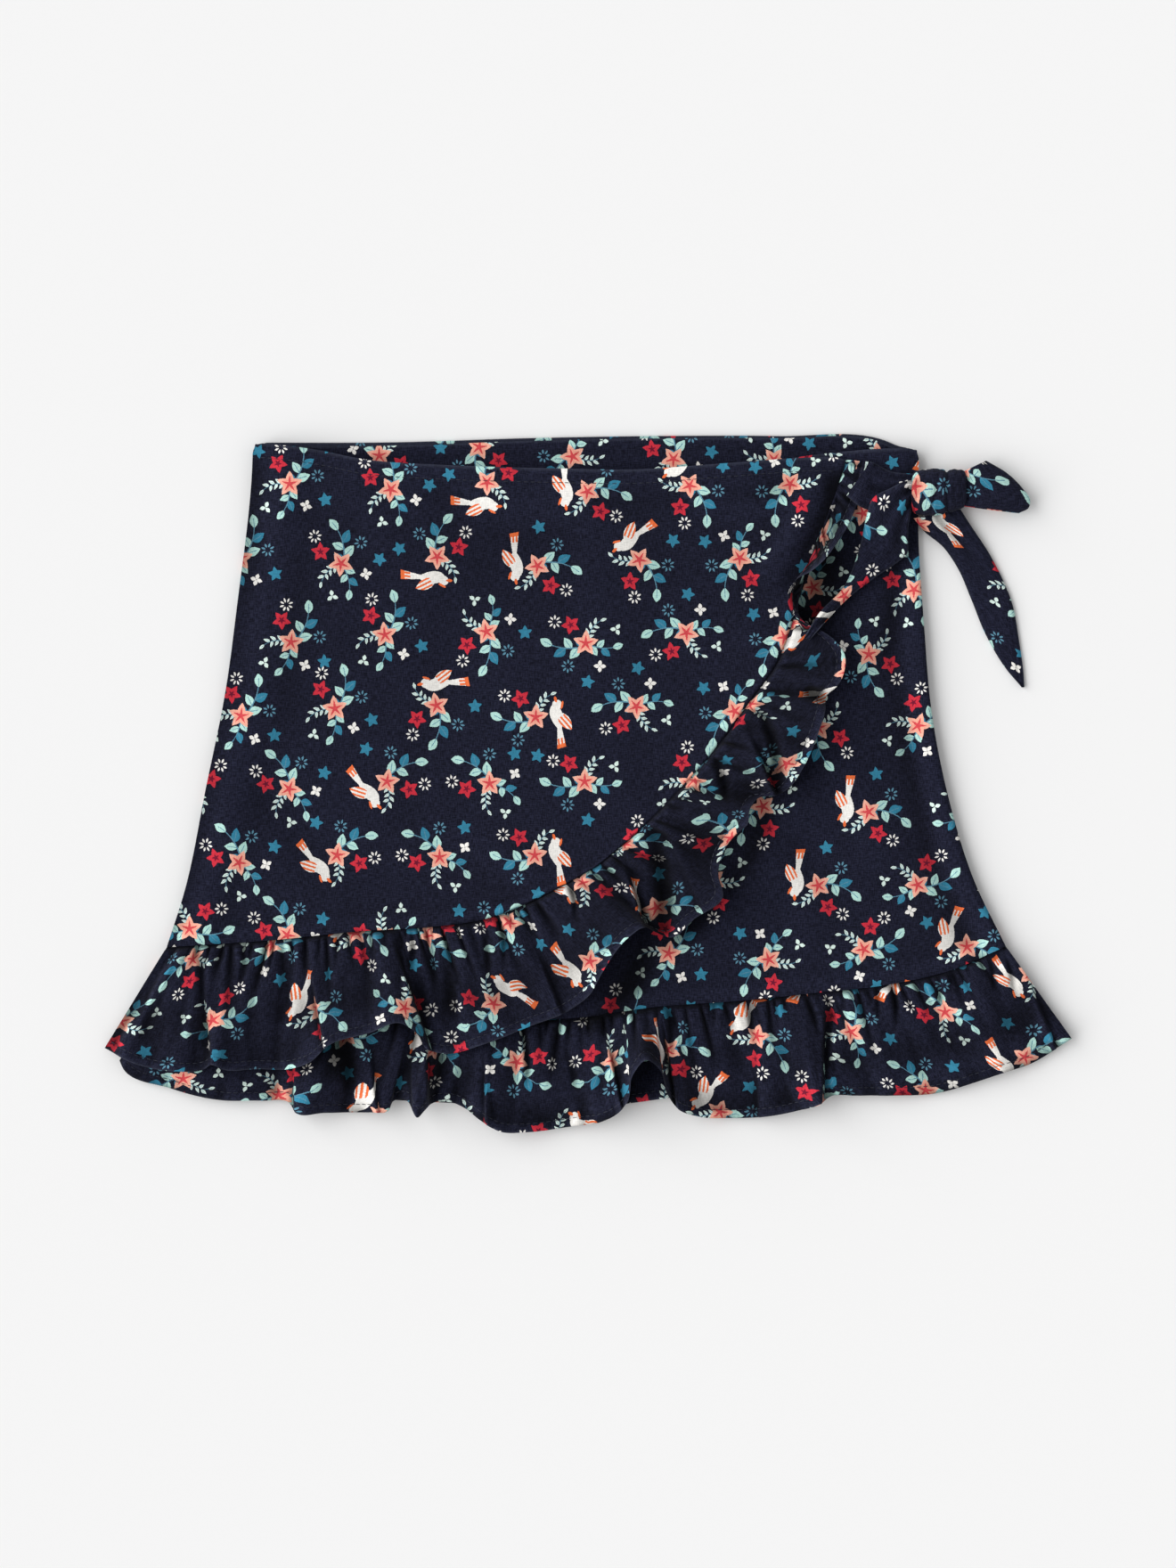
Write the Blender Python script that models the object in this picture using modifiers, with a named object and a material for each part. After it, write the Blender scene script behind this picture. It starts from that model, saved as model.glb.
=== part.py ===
"""A child's wrap mini skirt in woven cotton, laid flat on its back and tied in a bow at the side.

+X runs across the skirt to the bow, +Y runs from the hem to the waist and +Z points up from the
surface that it lies on. The layers are built from the bottom up. Each one rests on the tops of
the layers below it, a cloth's breadth apart.
"""

import math

import bpy
import numpy as np
from mathutils import Vector
from mathutils.bvhtree import BVHTree

MM = 0.001  # the sizes and tables below are in millimetres

# Driving sizes
CLOTH = 1.3  # wall of the panels, the facing and the ruffles
TIE = 1.8  # wall of the ties, which are folded double
GAP = 0.3  # between pieces at a seam, and between layers
FACING_DEPTH = 30.0  # of the strip that faces the back of the waist
WRAP_INSET = 7.0  # the under-front ends this far inside the left side seam
BACK_INSET = 0.8  # the back lies this far inside the front's outline
FULLNESS = 0.8  # scales the height of every ruffle wave
GATHER_PITCH = 9.0  # along a seam, from one gather to the next
GATHER_RISE = 1.2  # of a gather's ridge over its furrow
SEAM_LENGTH = 362.0  # of the back's and the under-front's hem seams
BACK_WAVE = 3.0  # height of the waves in the hidden back ruffle
BACK_WAVE_PITCH = 22.0
STEEPEST = 2.4  # a wall's height is at most this many times its thickness
WRAP_RUFFLE_COLUMNS = 176
UNDER_RUFFLE_COLUMNS = 152
BACK_RUFFLE_COLUMNS = 76
RUFFLE_ROWS = (0.0, 0.07, 0.2, 0.4, 0.64, 0.88, 1.0)  # from the seam to the hem
BACK_GRID = (16, 6)  # cells across and down a panel
UNDER_GRID = (18, 10)
OVER_GRID = (18, 14)
FACING_COLUMNS = 29
FACING_ROWS = (0.0, 0.45, 1.0)  # from its top edge to its lower edge
FACING_INSET = 1.6  # from the back's side edges
FACING_DROP = 0.6  # below the back's top edge
TIE_STRIPS = 5
STRAP_STEPS = 9
TAIL_STEPS = 15
TIE_CROWN = 0.5  # how much more a tie lifts along its middle than at its edges
TIE_STIFFNESS = 3
SHARP_ANGLE = 75.0  # a fold sharper than this shows as an edge

# The map of what a layer lies on
CELL = 1.0
MAP_LOW = (-215.0, -160.0)
MAP_CELLS = (430, 320)

NAVY = (0.017, 0.019, 0.036)
NAVY_UNDER = (0.012, 0.013, 0.026)

# Outlines of the laid skirt, each from left to right or from the waist down: (x, y)
BACK_WAIST = [(-140.2, 142.6), (-82.5, 142.9), (-22.5, 144.9), (40.0, 146.0), (79.9, 146.0),
              (124.9, 144.3), (131.2, 141.8), (138.3, 141.0)]
UNDER_WAIST = [(-133.5, 138.0), (-78.4, 133.2), (-18.0, 130.6), (58.5, 133.0), (100.0, 138.8),
               (119.6, 140.6), (139.0, 141.2)]
OVER_WAIST = [(-140.6, 143.6), (-113.6, 140.2), (-94.9, 136.4), (-61.9, 133.9), (-18.0, 132.5),
              (19.9, 132.0), (58.5, 134.6), (98.6, 137.1), (109.1, 137.0)]
LEFT_SIDE = [(-140.6, 143.6), (-141.2, 130.0), (-147.0, 78.8), (-152.4, 38.6), (-160.5, -1.5),
             (-169.5, -45.0), (-177.0, -68.6)]
RIGHT_SIDE = [(139.0, 141.2), (138.8, 106.1), (141.2, 66.8), (144.4, 30.0), (151.9, -7.5),
              (162.0, -40.0), (175.5, -68.2)]
FRONT_SEAM = [(-170.0, -70.5), (-140.0, -79.0), (-100.0, -89.0), (-55.0, -97.0), (-8.6, -98.6),
              (30.0, -93.6), (66.0, -91.0), (96.0, -87.8), (126.0, -84.4), (152.2, -78.4),
              (175.5, -68.2)]
BACK_SEAM = [(-176.0, -69.5), (-140.0, -80.0), (-80.0, -92.0), (0.0, -96.0), (80.0, -91.0),
             (140.0, -81.0), (174.7, -69.0)]
BACK_HEM = [(-201.5, -110.5), (-160.0, -128.5), (-80.0, -133.0), (15.4, -134.6), (35.0, -131.8),
            (100.0, -129.0), (150.0, -124.0), (201.5, -106.0)]
WRAP_SEAM = [(-177.0, -68.6), (-156.0, -67.3), (-130.1, -65.4), (-97.1, -62.0), (-63.0, -59.8),
             (-45.8, -57.4), (-14.2, -44.6), (3.8, -34.5), (20.6, -20.4), (36.4, -4.5),
             (51.4, 12.0), (69.4, 36.6), (79.0, 50.0), (86.2, 68.5), (91.9, 90.0),
             (103.1, 120.0), (109.1, 137.0)]
WRAP_CORNER = 7  # the point of WRAP_SEAM where the over-front's hem turns into its wrap edge

# Hem of the under-front ruffle, left to right: (x, y, lift), lift being its height over its bed
UNDER_HEM = [
    (-196.9, -116.2, 0.3), (-195.0, -120.0, 0.0), (-175.5, -127.9, 2.5), (-154.9, -132.8, 1.5),
    (-136.9, -133.1, 0.0), (-125.2, -134.2, 0.0), (-123.2, -137.4, 6.0), (-110.0, -138.0, 7.5),
    (-98.5, -138.0, 2.0), (-91.0, -137.8, 6.0), (-83.8, -137.2, 7.5), (-81.8, -133.2, 0.0),
    (-75.2, -133.4, 0.0), (-73.8, -136.0, 8.0), (-71.4, -139.6, 10.0), (-68.6, -137.0, 7.0),
    (-66.0, -134.4, 0.0), (-58.0, -133.6, 0.0), (-51.8, -136.1, 3.0), (-45.4, -141.0, 7.0),
    (-36.0, -146.0, 9.0), (-26.2, -146.2, 6.0), (-5.2, -143.6, 3.5), (5.2, -141.9, 6.5),
    (12.0, -138.4, 9.0), (16.4, -133.0, 12.0), (19.0, -121.0, 14.0), (24.6, -115.2, 14.5),
    (29.4, -118.5, 13.0), (33.4, -130.1, 10.0), (38.0, -136.4, 7.0), (46.9, -139.7, 5.0),
    (60.0, -140.4, 3.0), (72.0, -140.0, 1.5), (87.4, -137.2, 6.0), (98.2, -133.6, 9.0),
    (101.6, -131.2, 0.5), (112.0, -130.9, 0.0), (127.5, -130.9, 3.5), (146.6, -130.0, 0.5),
    (162.0, -125.6, 2.5), (174.0, -121.5, 4.5), (186.0, -117.6, 0.0), (203.2, -106.9, 0.0),
]

# Hem of the wrap ruffle, from the left side up to the waist: (along, x, y, lift), along being the
# place on the seam that the section comes from
WRAP_HEM = [
    (0, -203.2, -111.0, 0.0), (8, -188.0, -118.0, 1.5), (18, -172.9, -120.4, 3.0),
    (26, -161.0, -119.6, 0.5), (29, -157.9, -117.6, 7.0), (34, -151.9, -119.8, 5.5),
    (44, -139.9, -119.6, 1.0), (56, -124.9, -119.4, 3.0), (63, -117.0, -116.8, 6.0),
    (70, -108.0, -109.0, 9.0), (84, -92.0, -104.3, 9.0), (94, -78.0, -100.0, 10.5),
    (99, -71.5, -104.5, 7.0), (103, -67.5, -111.0, 1.0), (108, -61.0, -113.0, 2.5),
    (122, -43.1, -108.8, 6.5), (137, -24.0, -101.4, 5.5), (149, -8.0, -95.0, 7.0),
    (156, 0.8, -88.1, 8.5), (163, 5.6, -79.5, 11.0), (170, 10.9, -71.0, 13.0),
    (177, 17.0, -64.0, 12.0), (183, 24.0, -60.0, 8.0), (187, 28.0, -62.0, 0.5),
    (191, 34.5, -64.5, 0.5), (196, 44.6, -56.6, 6.0), (202, 56.5, -47.0, 9.0),
    (209, 54.6, -37.5, 4.0), (219, 58.5, -25.5, 2.5), (225, 62.5, -20.6, 7.0),
    (231, 66.6, -17.0, 10.0), (237, 67.8, -10.6, 6.0), (242, 71.0, -6.2, 0.5),
    (247, 79.9, -4.5, 0.5), (253, 84.4, -1.6, 5.0), (261, 88.6, 4.4, 9.0),
    (271, 93.0, 12.6, 9.5), (281, 96.6, 22.0, 9.5), (288, 99.4, 31.0, 7.0),
    (292, 100.2, 37.2, 0.5), (297, 104.0, 40.6, 8.5), (303, 108.0, 47.0, 8.0),
    (309, 108.4, 55.0, 5.0), (316, 103.1, 63.4, 2.5), (323, 96.4, 67.2, 2.0),
    (331, 92.6, 74.0, 7.0), (339, 92.8, 81.0, 14.0), (348, 96.4, 90.5, 13.0),
    (358, 103.0, 100.5, 7.0), (368, 110.0, 111.0, 1.0), (382, 116.0, 125.0, 0.5),
    (396, 118.9, 135.0, 0.0),
]

# Sections across a tie, from the knot out: (edge x, y, other edge x, y, lift). The second edge is
# on the right of the one who looks out from the knot.
STRAP_SECTIONS = [
    (137.4, 118.8, 137.4, 127.8, 0.6), (132.0, 117.4, 132.6, 127.3, 1.2),
    (127.0, 116.0, 127.4, 127.2, 1.0), (119.6, 114.6, 121.4, 130.8, 0.6),
    (111.6, 116.2, 115.6, 134.6, 0.3), (105.0, 120.8, 110.4, 136.2, 0.0),
]
LEFT_TAIL_SECTIONS = [
    (137.4, 118.6, 137.4, 127.4, 1.6), (135.6, 114.6, 132.6, 126.8, 1.8),
    (134.4, 108.8, 126.8, 124.0, 1.6), (134.2, 102.4, 119.6, 120.0, 1.4),
    (134.0, 97.0, 116.8, 112.6, 1.2), (129.6, 92.8, 114.8, 102.6, 0.8),
    (121.0, 87.0, 112.2, 93.6, 0.6), (110.4, 79.0, 107.4, 82.8, 0.4),
    (100.2, 68.6, 96.8, 71.6, 0.6), (92.6, 60.2, 90.6, 61.6, 0.6),
]
RIGHT_TAIL_SECTIONS = [
    (156.0, 114.4, 141.6, 111.8, 3.4), (160.1, 109.6, 141.4, 107.4, 2.2),
    (168.8, 96.8, 150.0, 99.0, 0.8), (174.0, 87.0, 156.0, 90.0, 0.4),
    (178.5, 75.8, 161.4, 77.4, 0.8), (181.4, 60.0, 168.0, 61.6, 0.3),
    (183.2, 47.0, 176.6, 47.6, 0.1), (183.6, 40.8, 182.6, 40.6, 0.0),
]

# The bow's loop, from the knot to its fold: (part of the way, half of its height)
LOOP_SECTIONS = [(0.0, 2.4), (0.16, 3.3), (0.38, 4.2), (0.62, 4.0), (0.82, 3.0), (0.94, 1.9),
                 (0.985, 1.1)]
LOOP_KNOT_END = [(158.6, 116.6), (158.8, 124.0), (158.4, 131.2)]  # across the band, low to high
LOOP_FOLD_END = [(183.4, 114.8), (184.6, 119.6), (177.4, 127.6), (168.4, 135.4)]
LOOP_ACROSS = 8  # points across the band
LOOP_PINCH = 0.25  # how much flatter the loop is at the band's edges
LOOP_WALL = 1.3
LOOP_MIDDLE = 5.6  # height of the loop's middle over the surface

# The knot, along X: (x, middle y, half width, half height)
KNOT_SECTIONS = [
    (138.2, 122.8, 6.4, 3.0), (139.8, 122.6, 8.4, 4.7), (143.2, 122.4, 9.6, 6.0),
    (147.6, 122.6, 9.5, 6.0), (150.4, 122.8, 8.3, 4.9), (152.6, 123.2, 8.7, 5.4),
    (156.0, 123.6, 8.0, 4.9), (157.9, 123.8, 6.2, 3.5),
]
KNOT_RINGS = 14
KNOT_SIDES = 20
KNOT_BLUNTNESS = 0.85  # 1 for round sections, less for squarer ones
KNOT_MIDDLE = 6.2  # height of the knot's middle over the surface
KNOT_REST = 0.2  # its lowest point


def smooth_curve(points, count):
    """Rows of a smooth curve through the points, evenly spaced by length in the plane of x and y."""
    rows = np.array(points, float)
    steps = np.linalg.norm(np.diff(rows[:, :2], axis=0), axis=1)
    place = np.concatenate([[0.0], np.cumsum(np.maximum(steps, 1e-6))])
    slopes = np.gradient(rows, place, axis=0)
    fine = np.linspace(0.0, place[-1], 40 * len(rows))
    span = np.clip(np.searchsorted(place, fine, side="right") - 1, 0, len(rows) - 2)
    width = (place[span + 1] - place[span])[:, None]
    t = (fine - place[span])[:, None] / width
    curve = ((2 * t**3 - 3 * t**2 + 1) * rows[span] + (t**3 - 2 * t**2 + t) * width * slopes[span]
             + (3 * t**2 - 2 * t**3) * rows[span + 1] + (t**3 - t**2) * width * slopes[span + 1])
    run = np.concatenate([[0.0], np.cumsum(np.linalg.norm(np.diff(curve[:, :2], axis=0), axis=1))])
    wanted = np.linspace(0.0, run[-1], count)
    return np.stack([np.interp(wanted, run, column) for column in curve.T], axis=1)


def patch(top, bottom, left, right, grid):
    """Plan of a panel inside four edges, as an array of rows from the waist down."""
    columns, rows = grid
    u = np.linspace(0.0, 1.0, columns + 1)[None, :, None]
    v = np.linspace(0.0, 1.0, rows + 1)[:, None, None]
    t, b = (smooth_curve(edge, columns + 1)[None, :, :2] for edge in (top, bottom))
    le, r = (smooth_curve(edge, rows + 1)[:, None, :2] for edge in (left, right))
    corners = ((1 - u) * (1 - v) * t[:, :1] + u * (1 - v) * t[:, -1:]
               + (1 - u) * v * b[:, :1] + u * v * b[:, -1:])
    return (1 - v) * t + v * b + (1 - u) * le + u * r - corners


def top_map(obj):
    """Height of the top of an object over each cell of the map, or 0 beside it."""
    points = [vertex.co / MM for vertex in obj.data.vertices]
    tree = BVHTree.FromPolygons(points, [face.vertices for face in obj.data.polygons])
    heights = np.zeros(MAP_CELLS)
    low = np.array([min(p[i] for p in points) for i in range(2)])
    high = np.array([max(p[i] for p in points) for i in range(2)])
    first = np.floor((low - MAP_LOW) / CELL).astype(int)
    last = np.ceil((high - MAP_LOW) / CELL).astype(int)
    for i in range(first[0], last[0] + 1):
        for j in range(first[1], last[1] + 1):
            x, y = MAP_LOW[0] + i * CELL, MAP_LOW[1] + j * CELL
            hit = tree.ray_cast(Vector((x, y, 100.0)), Vector((0.0, 0.0, -1.0)))[0]
            if hit is not None:
                heights[i, j] = hit.z
    return heights


def widened(heights, cells):
    """The map with each top spread sideways by a number of cells."""
    for axis in (0, 1):
        shifted = [np.roll(heights, shift, axis) for shift in range(-cells, cells + 1)]
        heights = np.max(shifted, axis=0)
    return heights


def bed_height(bed, plan):
    """Height on which a sheet may lie at each point of its plan."""
    place = (plan - MAP_LOW) / CELL
    cell = np.floor(place).astype(int)
    part = place - cell
    i, j = cell[..., 0], cell[..., 1]
    a, b = part[..., 0], part[..., 1]
    return ((1 - a) * (1 - b) * bed[i, j] + a * (1 - b) * bed[i + 1, j]
            + (1 - a) * b * bed[i, j + 1] + a * b * bed[i + 1, j + 1])


def bed_over(under):
    """The lowest that anything may lie on top of the given layers."""
    bed = np.max(under, axis=0)
    return widened(np.where(bed > 0.0, bed + GAP, 0.0), 2)


def evened(grid):
    """Each value replaced by the mean of its four neighbours."""
    wide = np.pad(grid, 1, mode="edge")
    return 0.25 * (wide[:-2, 1:-1] + wide[2:, 1:-1] + wide[1:-1, :-2] + wide[1:-1, 2:])


def inside_cells(grid, a, b):
    """Values on the two triangles of each cell, a of the way down its rows and b along its columns."""
    first, below = grid[:-1, :-1], grid[1:, :-1]
    beside, last = grid[:-1, 1:], grid[1:, 1:]
    if a >= b:
        return (1 - a) * first + (a - b) * below + b * last
    return (1 - b) * first + (b - a) * beside + a * last


def settle(plan, lift, under, stiffness=0):
    """Heights of a sheet's underside: its own lift over its bed, and nowhere into the bed.

    A stiff sheet bridges the hollows of its bed, more so with each step of stiffness.
    """
    bed = bed_over(under)
    z = bed_height(bed, plan) + lift
    shares = (0.0, 0.25, 0.5, 0.75, 1.0)
    for turn in range(stiffness + 3):
        for a in shares:
            for b in shares:
                short = bed_height(bed, inside_cells(plan, a, b)) - inside_cells(z, a, b)
                short = np.maximum(short, 0.0)
                for rows in (slice(None, -1), slice(1, None)):
                    for columns in (slice(None, -1), slice(1, None)):
                        z[rows, columns] += short
        if turn < stiffness:
            for _ in range(2):
                z = evened(z)
    return z


def material(name, colour, roughness):
    """A plain cloth finish."""
    finish = bpy.data.materials.new(name)
    finish.use_nodes = True
    shader = finish.node_tree.nodes["Principled BSDF"]
    shader.inputs["Base Color"].default_value = (*colour, 1.0)
    shader.inputs["Roughness"].default_value = roughness
    shader.inputs["Metallic"].default_value = 0.0
    return finish


def add_object(name, points, faces, finish):
    """A new object of the skirt from points in millimetres."""
    mesh = bpy.data.meshes.new(name)
    mesh.from_pydata([Vector(p) * MM for p in points], [], faces)
    mesh.materials.append(finish)
    mesh.shade_smooth()
    mesh.set_sharp_from_angle(angle=math.radians(SHARP_ANGLE))
    obj = bpy.data.objects.new(name, mesh)
    SKIRT.objects.link(obj)
    return obj


def steepness(plan, z):
    """How much taller than its wall a sheet is, straight up, at each of its points."""
    across, down = (np.gradient(plan, axis=axis) for axis in (1, 0))
    rise_across, rise_down = (np.gradient(z, axis=axis) for axis in (1, 0))
    area = across[..., 0] * down[..., 1] - across[..., 1] * down[..., 0]
    area = np.where(np.abs(area) < 1e-3, 1e-3, area)
    slope_x = (rise_across * down[..., 1] - rise_down * across[..., 1]) / area
    slope_y = (rise_down * across[..., 0] - rise_across * down[..., 0]) / area
    return evened(np.minimum(np.sqrt(1.0 + slope_x**2 + slope_y**2), STEEPEST))


def add_sheet(name, plan, z, finish, wall=CLOTH):
    """A sheet of cloth whose underside has the given plan and heights, closed round its rim."""
    rows, columns = z.shape
    top = z + wall * steepness(plan, z)
    points = [(x, y, h) for heights in (z, top) for (x, y), h in zip(plan.reshape(-1, 2), heights.flat)]
    faces = []
    over = rows * columns
    for r in range(rows - 1):
        for c in range(columns - 1):
            first = r * columns + c
            below, beside, last = first + columns, first + 1, first + columns + 1
            for upper in ((first, below, last), (first, last, beside)):
                faces.append(tuple(over + point for point in upper))
                faces.append(upper[::-1])
    rim = list(range(columns)) + [r * columns + columns - 1 for r in range(1, rows)]
    rim += [(rows - 1) * columns + c for c in range(columns - 2, -1, -1)]
    rim += [r * columns for r in range(rows - 2, 0, -1)]
    for here, after in zip(rim, rim[1:] + rim[:1]):
        faces.append((after, here, over + here, over + after))
    return add_object(name, points, faces, finish)


def edge_at(edge, along):
    """Points at parts of the length of a panel's edge, and the edge's direction there."""
    steps = np.diff(edge, axis=0)
    lengths = np.linalg.norm(steps, axis=1)
    run = np.concatenate([[0.0], np.cumsum(lengths)])
    wanted = np.clip(along, 0.0, 1.0) * run[-1]
    points = np.stack([np.interp(wanted, run, column) for column in edge.T], axis=1)
    span = np.clip(np.searchsorted(run, wanted, side="right") - 1, 0, len(steps) - 1)
    return points, steps[span] / lengths[span][:, None]


def ruffle_plan(edge, along, hem):
    """Plan of a ruffle that leaves a panel's edge, on its right, and ends at the hem points."""
    seam, ahead = edge_at(edge, along)
    start = seam + GAP * np.stack([ahead[:, 1], -ahead[:, 0]], axis=1)
    share = np.array(RUFFLE_ROWS)[:, None, None]
    return (1 - share) * start + share * hem


def ruffle_lift(along, hem_lift):
    """Height of a ruffle over its bed: small gathers at the seam that run out into the hem's waves."""
    share = np.array(RUFFLE_ROWS)[:, None]
    gather = 0.5 + 0.5 * np.cos(2 * math.pi * along / GATHER_PITCH)
    uneven = 0.75 + 0.25 * np.sin(along / 17.0)
    fade = np.sin(math.pi * share ** 0.6) ** 2
    waves = FULLNESS * hem_lift * share ** 1.35
    return waves + GATHER_RISE * gather * uneven * fade


def add_back(finish):
    """The back panel, its waist facing and its hem ruffle, which lie on the surface."""
    left = np.array(LEFT_SIDE) + (BACK_INSET, 0.0)
    right = np.array(RIGHT_SIDE) - (BACK_INSET, 0.0)
    plan = patch(BACK_WAIST, BACK_SEAM, left, right, BACK_GRID)
    panel = add_sheet("back_panel", plan, np.zeros(plan.shape[:2]), finish)

    share = np.linspace(0.0, 1.0, BACK_RUFFLE_COLUMNS)
    along = share * SEAM_LENGTH
    hem_waves = BACK_WAVE * (0.5 - 0.5 * np.cos(2 * math.pi * along / BACK_WAVE_PITCH))
    plan = ruffle_plan(plan[-1], share, smooth_curve(BACK_HEM, BACK_RUFFLE_COLUMNS))
    ruffle = add_sheet("back_ruffle", plan, ruffle_lift(along, hem_waves), finish)
    return panel, ruffle


def add_facing(finish, under):
    """The strip inside the back of the waist."""
    top = smooth_curve(BACK_WAIST, FACING_COLUMNS)
    across = np.linspace(1.0, -1.0, FACING_COLUMNS)
    top += np.stack([FACING_INSET * across, np.full(FACING_COLUMNS, -FACING_DROP)], axis=1)
    bottom = top - (0.0, FACING_DEPTH)
    share = np.array(FACING_ROWS)[:, None, None]
    plan = (1 - share) * top + share * bottom
    return add_sheet("back_waist_facing", plan, settle(plan, 0.0, under), finish)


def add_under_front(finish, panel_bed, ruffle_bed):
    """The under-front panel and its hem ruffle."""
    left = np.array(LEFT_SIDE) + (WRAP_INSET, 0.0)
    left[0] = UNDER_WAIST[0]
    left[-1] = FRONT_SEAM[0]
    plan = patch(UNDER_WAIST, FRONT_SEAM, left, RIGHT_SIDE, UNDER_GRID)
    panel = add_sheet("under_front_panel", plan, settle(plan, 0.0, panel_bed), finish)

    hem = smooth_curve(UNDER_HEM, UNDER_RUFFLE_COLUMNS)
    share = np.maximum.accumulate((hem[:, 0] - hem[0, 0]) / (hem[-1, 0] - hem[0, 0]))
    plan = ruffle_plan(plan[-1], share, hem[:, :2])
    lift = ruffle_lift(share * SEAM_LENGTH, hem[:, 2])
    ruffle = add_sheet("under_front_ruffle", plan, settle(plan, lift, ruffle_bed), finish)
    return panel, ruffle


def add_over_front(finish, panel_bed, ruffle_bed):
    """The over-front panel and the ruffle that runs round its hem and wrap edge."""
    bottom = WRAP_SEAM[:WRAP_CORNER + 1]
    right = WRAP_SEAM[WRAP_CORNER:][::-1]
    plan = patch(OVER_WAIST, bottom, LEFT_SIDE, right, OVER_GRID)
    panel = add_sheet("over_front_panel", plan, settle(plan, 0.0, panel_bed), finish)

    rows = [(x, y, lift, along) for along, x, y, lift in WRAP_HEM]
    hem = smooth_curve(rows, WRAP_RUFFLE_COLUMNS)
    share = np.maximum.accumulate(np.clip(hem[:, 3] / WRAP_HEM[-1][0], 0.0, 1.0))
    edge = np.concatenate([plan[-1], plan[-2::-1, -1]])
    plan = ruffle_plan(edge, share, hem[:, :2])
    lift = ruffle_lift(hem[:, 3], hem[:, 2])
    ruffle = add_sheet("wrap_ruffle", plan, settle(plan, lift, ruffle_bed), finish)
    return panel, ruffle


def add_tie(name, sections, steps, finish, under):
    """A tie laid flat: the band between two edges, a little crowned across."""
    table = np.array(sections)
    middle = 0.5 * (table[:, 0:2] + table[:, 2:4])
    rows = smooth_curve(np.concatenate([middle, table], axis=1), steps)[:, 2:]
    share = np.linspace(0.0, 1.0, TIE_STRIPS + 1)[:, None]
    plan = (1 - share[..., None]) * rows[:, 0:2] + share[..., None] * rows[:, 2:4]
    lift = rows[:, 4] * (1.0 + TIE_CROWN * np.sin(math.pi * share))
    return add_sheet(name, plan, settle(plan, lift, under, TIE_STIFFNESS), finish, TIE)


def add_loop(finish):
    """The bow's loop: the band runs out under, turns at its slanted fold and comes back on top."""
    near = smooth_curve(LOOP_KNOT_END, LOOP_ACROSS)
    far = smooth_curve(LOOP_FOLD_END, LOOP_ACROSS)
    from_middle = np.abs(np.linspace(-1.0, 1.0, LOOP_ACROSS))
    out = [(share, -half) for share, half in LOOP_SECTIONS]
    back = [(share, half) for share, half in reversed(LOOP_SECTIONS)]
    points = []
    for share, half in out + [(1.0, 0.0)] + back:
        for k in range(LOOP_ACROSS):
            x, y = (1 - share) * near[k] + share * far[k]
            points.append((x, y, LOOP_MIDDLE + half * (1.0 - LOOP_PINCH * from_middle[k] ** 2)))
    faces = []
    for row in range(0, len(points) - LOOP_ACROSS, LOOP_ACROSS):
        for corner in range(row, row + LOOP_ACROSS - 1):
            below = corner + LOOP_ACROSS
            faces.append((corner, corner + 1, below + 1, below))
    loop = add_object("bow_loop", points, faces, finish)
    wall = loop.modifiers.new("Wall", "SOLIDIFY")
    wall.thickness = LOOP_WALL * MM
    wall.offset = -1.0


def add_knot(finish, under):
    """The knot: rounded sections along X with a furrow between its two turns."""
    bed = bed_over(under)
    rings = smooth_curve(KNOT_SECTIONS, KNOT_RINGS)
    points = []
    for x, middle, half_width, half_height in rings:
        for k in range(KNOT_SIDES):
            turn = 2 * math.pi * k / KNOT_SIDES
            across = math.copysign(abs(math.cos(turn)) ** KNOT_BLUNTNESS, math.cos(turn))
            y = middle + half_width * across
            z = KNOT_MIDDLE + half_height * math.sin(turn)
            points.append((x, y, max(z, KNOT_REST, bed_height(bed, np.array((x, y))))))
    faces = [tuple(range(KNOT_SIDES))[::-1]]
    for r in range(len(rings) - 1):
        for k in range(KNOT_SIDES):
            a, b = r * KNOT_SIDES + k, r * KNOT_SIDES + (k + 1) % KNOT_SIDES
            faces.append((a, b, b + KNOT_SIDES, a + KNOT_SIDES))
    last = (len(rings) - 1) * KNOT_SIDES
    faces.append(tuple(range(last, last + KNOT_SIDES)))
    add_object("bow_knot", points, faces, finish)


for old in list(bpy.data.objects):
    bpy.data.objects.remove(old)
SKIRT = bpy.data.collections.new("wrap_skirt")
bpy.context.scene.collection.children.link(SKIRT)

cotton = material("printed_cotton", NAVY, 0.85)
inner_cotton = material("cotton_inner_layers", NAVY_UNDER, 0.9)

back, back_ruffle = add_back(inner_cotton)
floor_layers = [top_map(back), top_map(back_ruffle)]
facing = add_facing(cotton, floor_layers[:1])
facing_top = top_map(facing)
under, under_ruffle = add_under_front(cotton, floor_layers + [facing_top], floor_layers)
under_layers = floor_layers + [facing_top, top_map(under), top_map(under_ruffle)]
over, wrap_ruffle = add_over_front(cotton, under_layers, under_layers)
front_layers = under_layers + [top_map(over), top_map(wrap_ruffle)]
strap = add_tie("over_tie_strap", STRAP_SECTIONS, STRAP_STEPS, cotton, front_layers)
add_knot(cotton, front_layers)
add_tie("bow_left_tail", LEFT_TAIL_SECTIONS, TAIL_STEPS, cotton, front_layers + [top_map(strap)])
add_tie("bow_right_tail", RIGHT_TAIL_SECTIONS, TAIL_STEPS, cotton, front_layers)
add_loop(cotton)
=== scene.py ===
"""A child's wrap mini skirt in printed cotton, laid flat: its cloth, sewing, print and light.

Each piece of cloth is a thin closed shell on the form of the solid that it replaces, with its own
gathers, creases, hem and seams. Its UV map holds the flat cut in metres, so that the print and the
weave follow the cloth. Shapes are worked out in millimetres and made in metres.
"""

import logging
import math
from collections.abc import Callable
from dataclasses import KW_ONLY, dataclass, field
from enum import Enum

import bpy
import numpy as np
from bpy.types import Material, Node, NodeSocket, NodeTree, Object
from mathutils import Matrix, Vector
from mathutils.bvhtree import BVHTree


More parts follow.
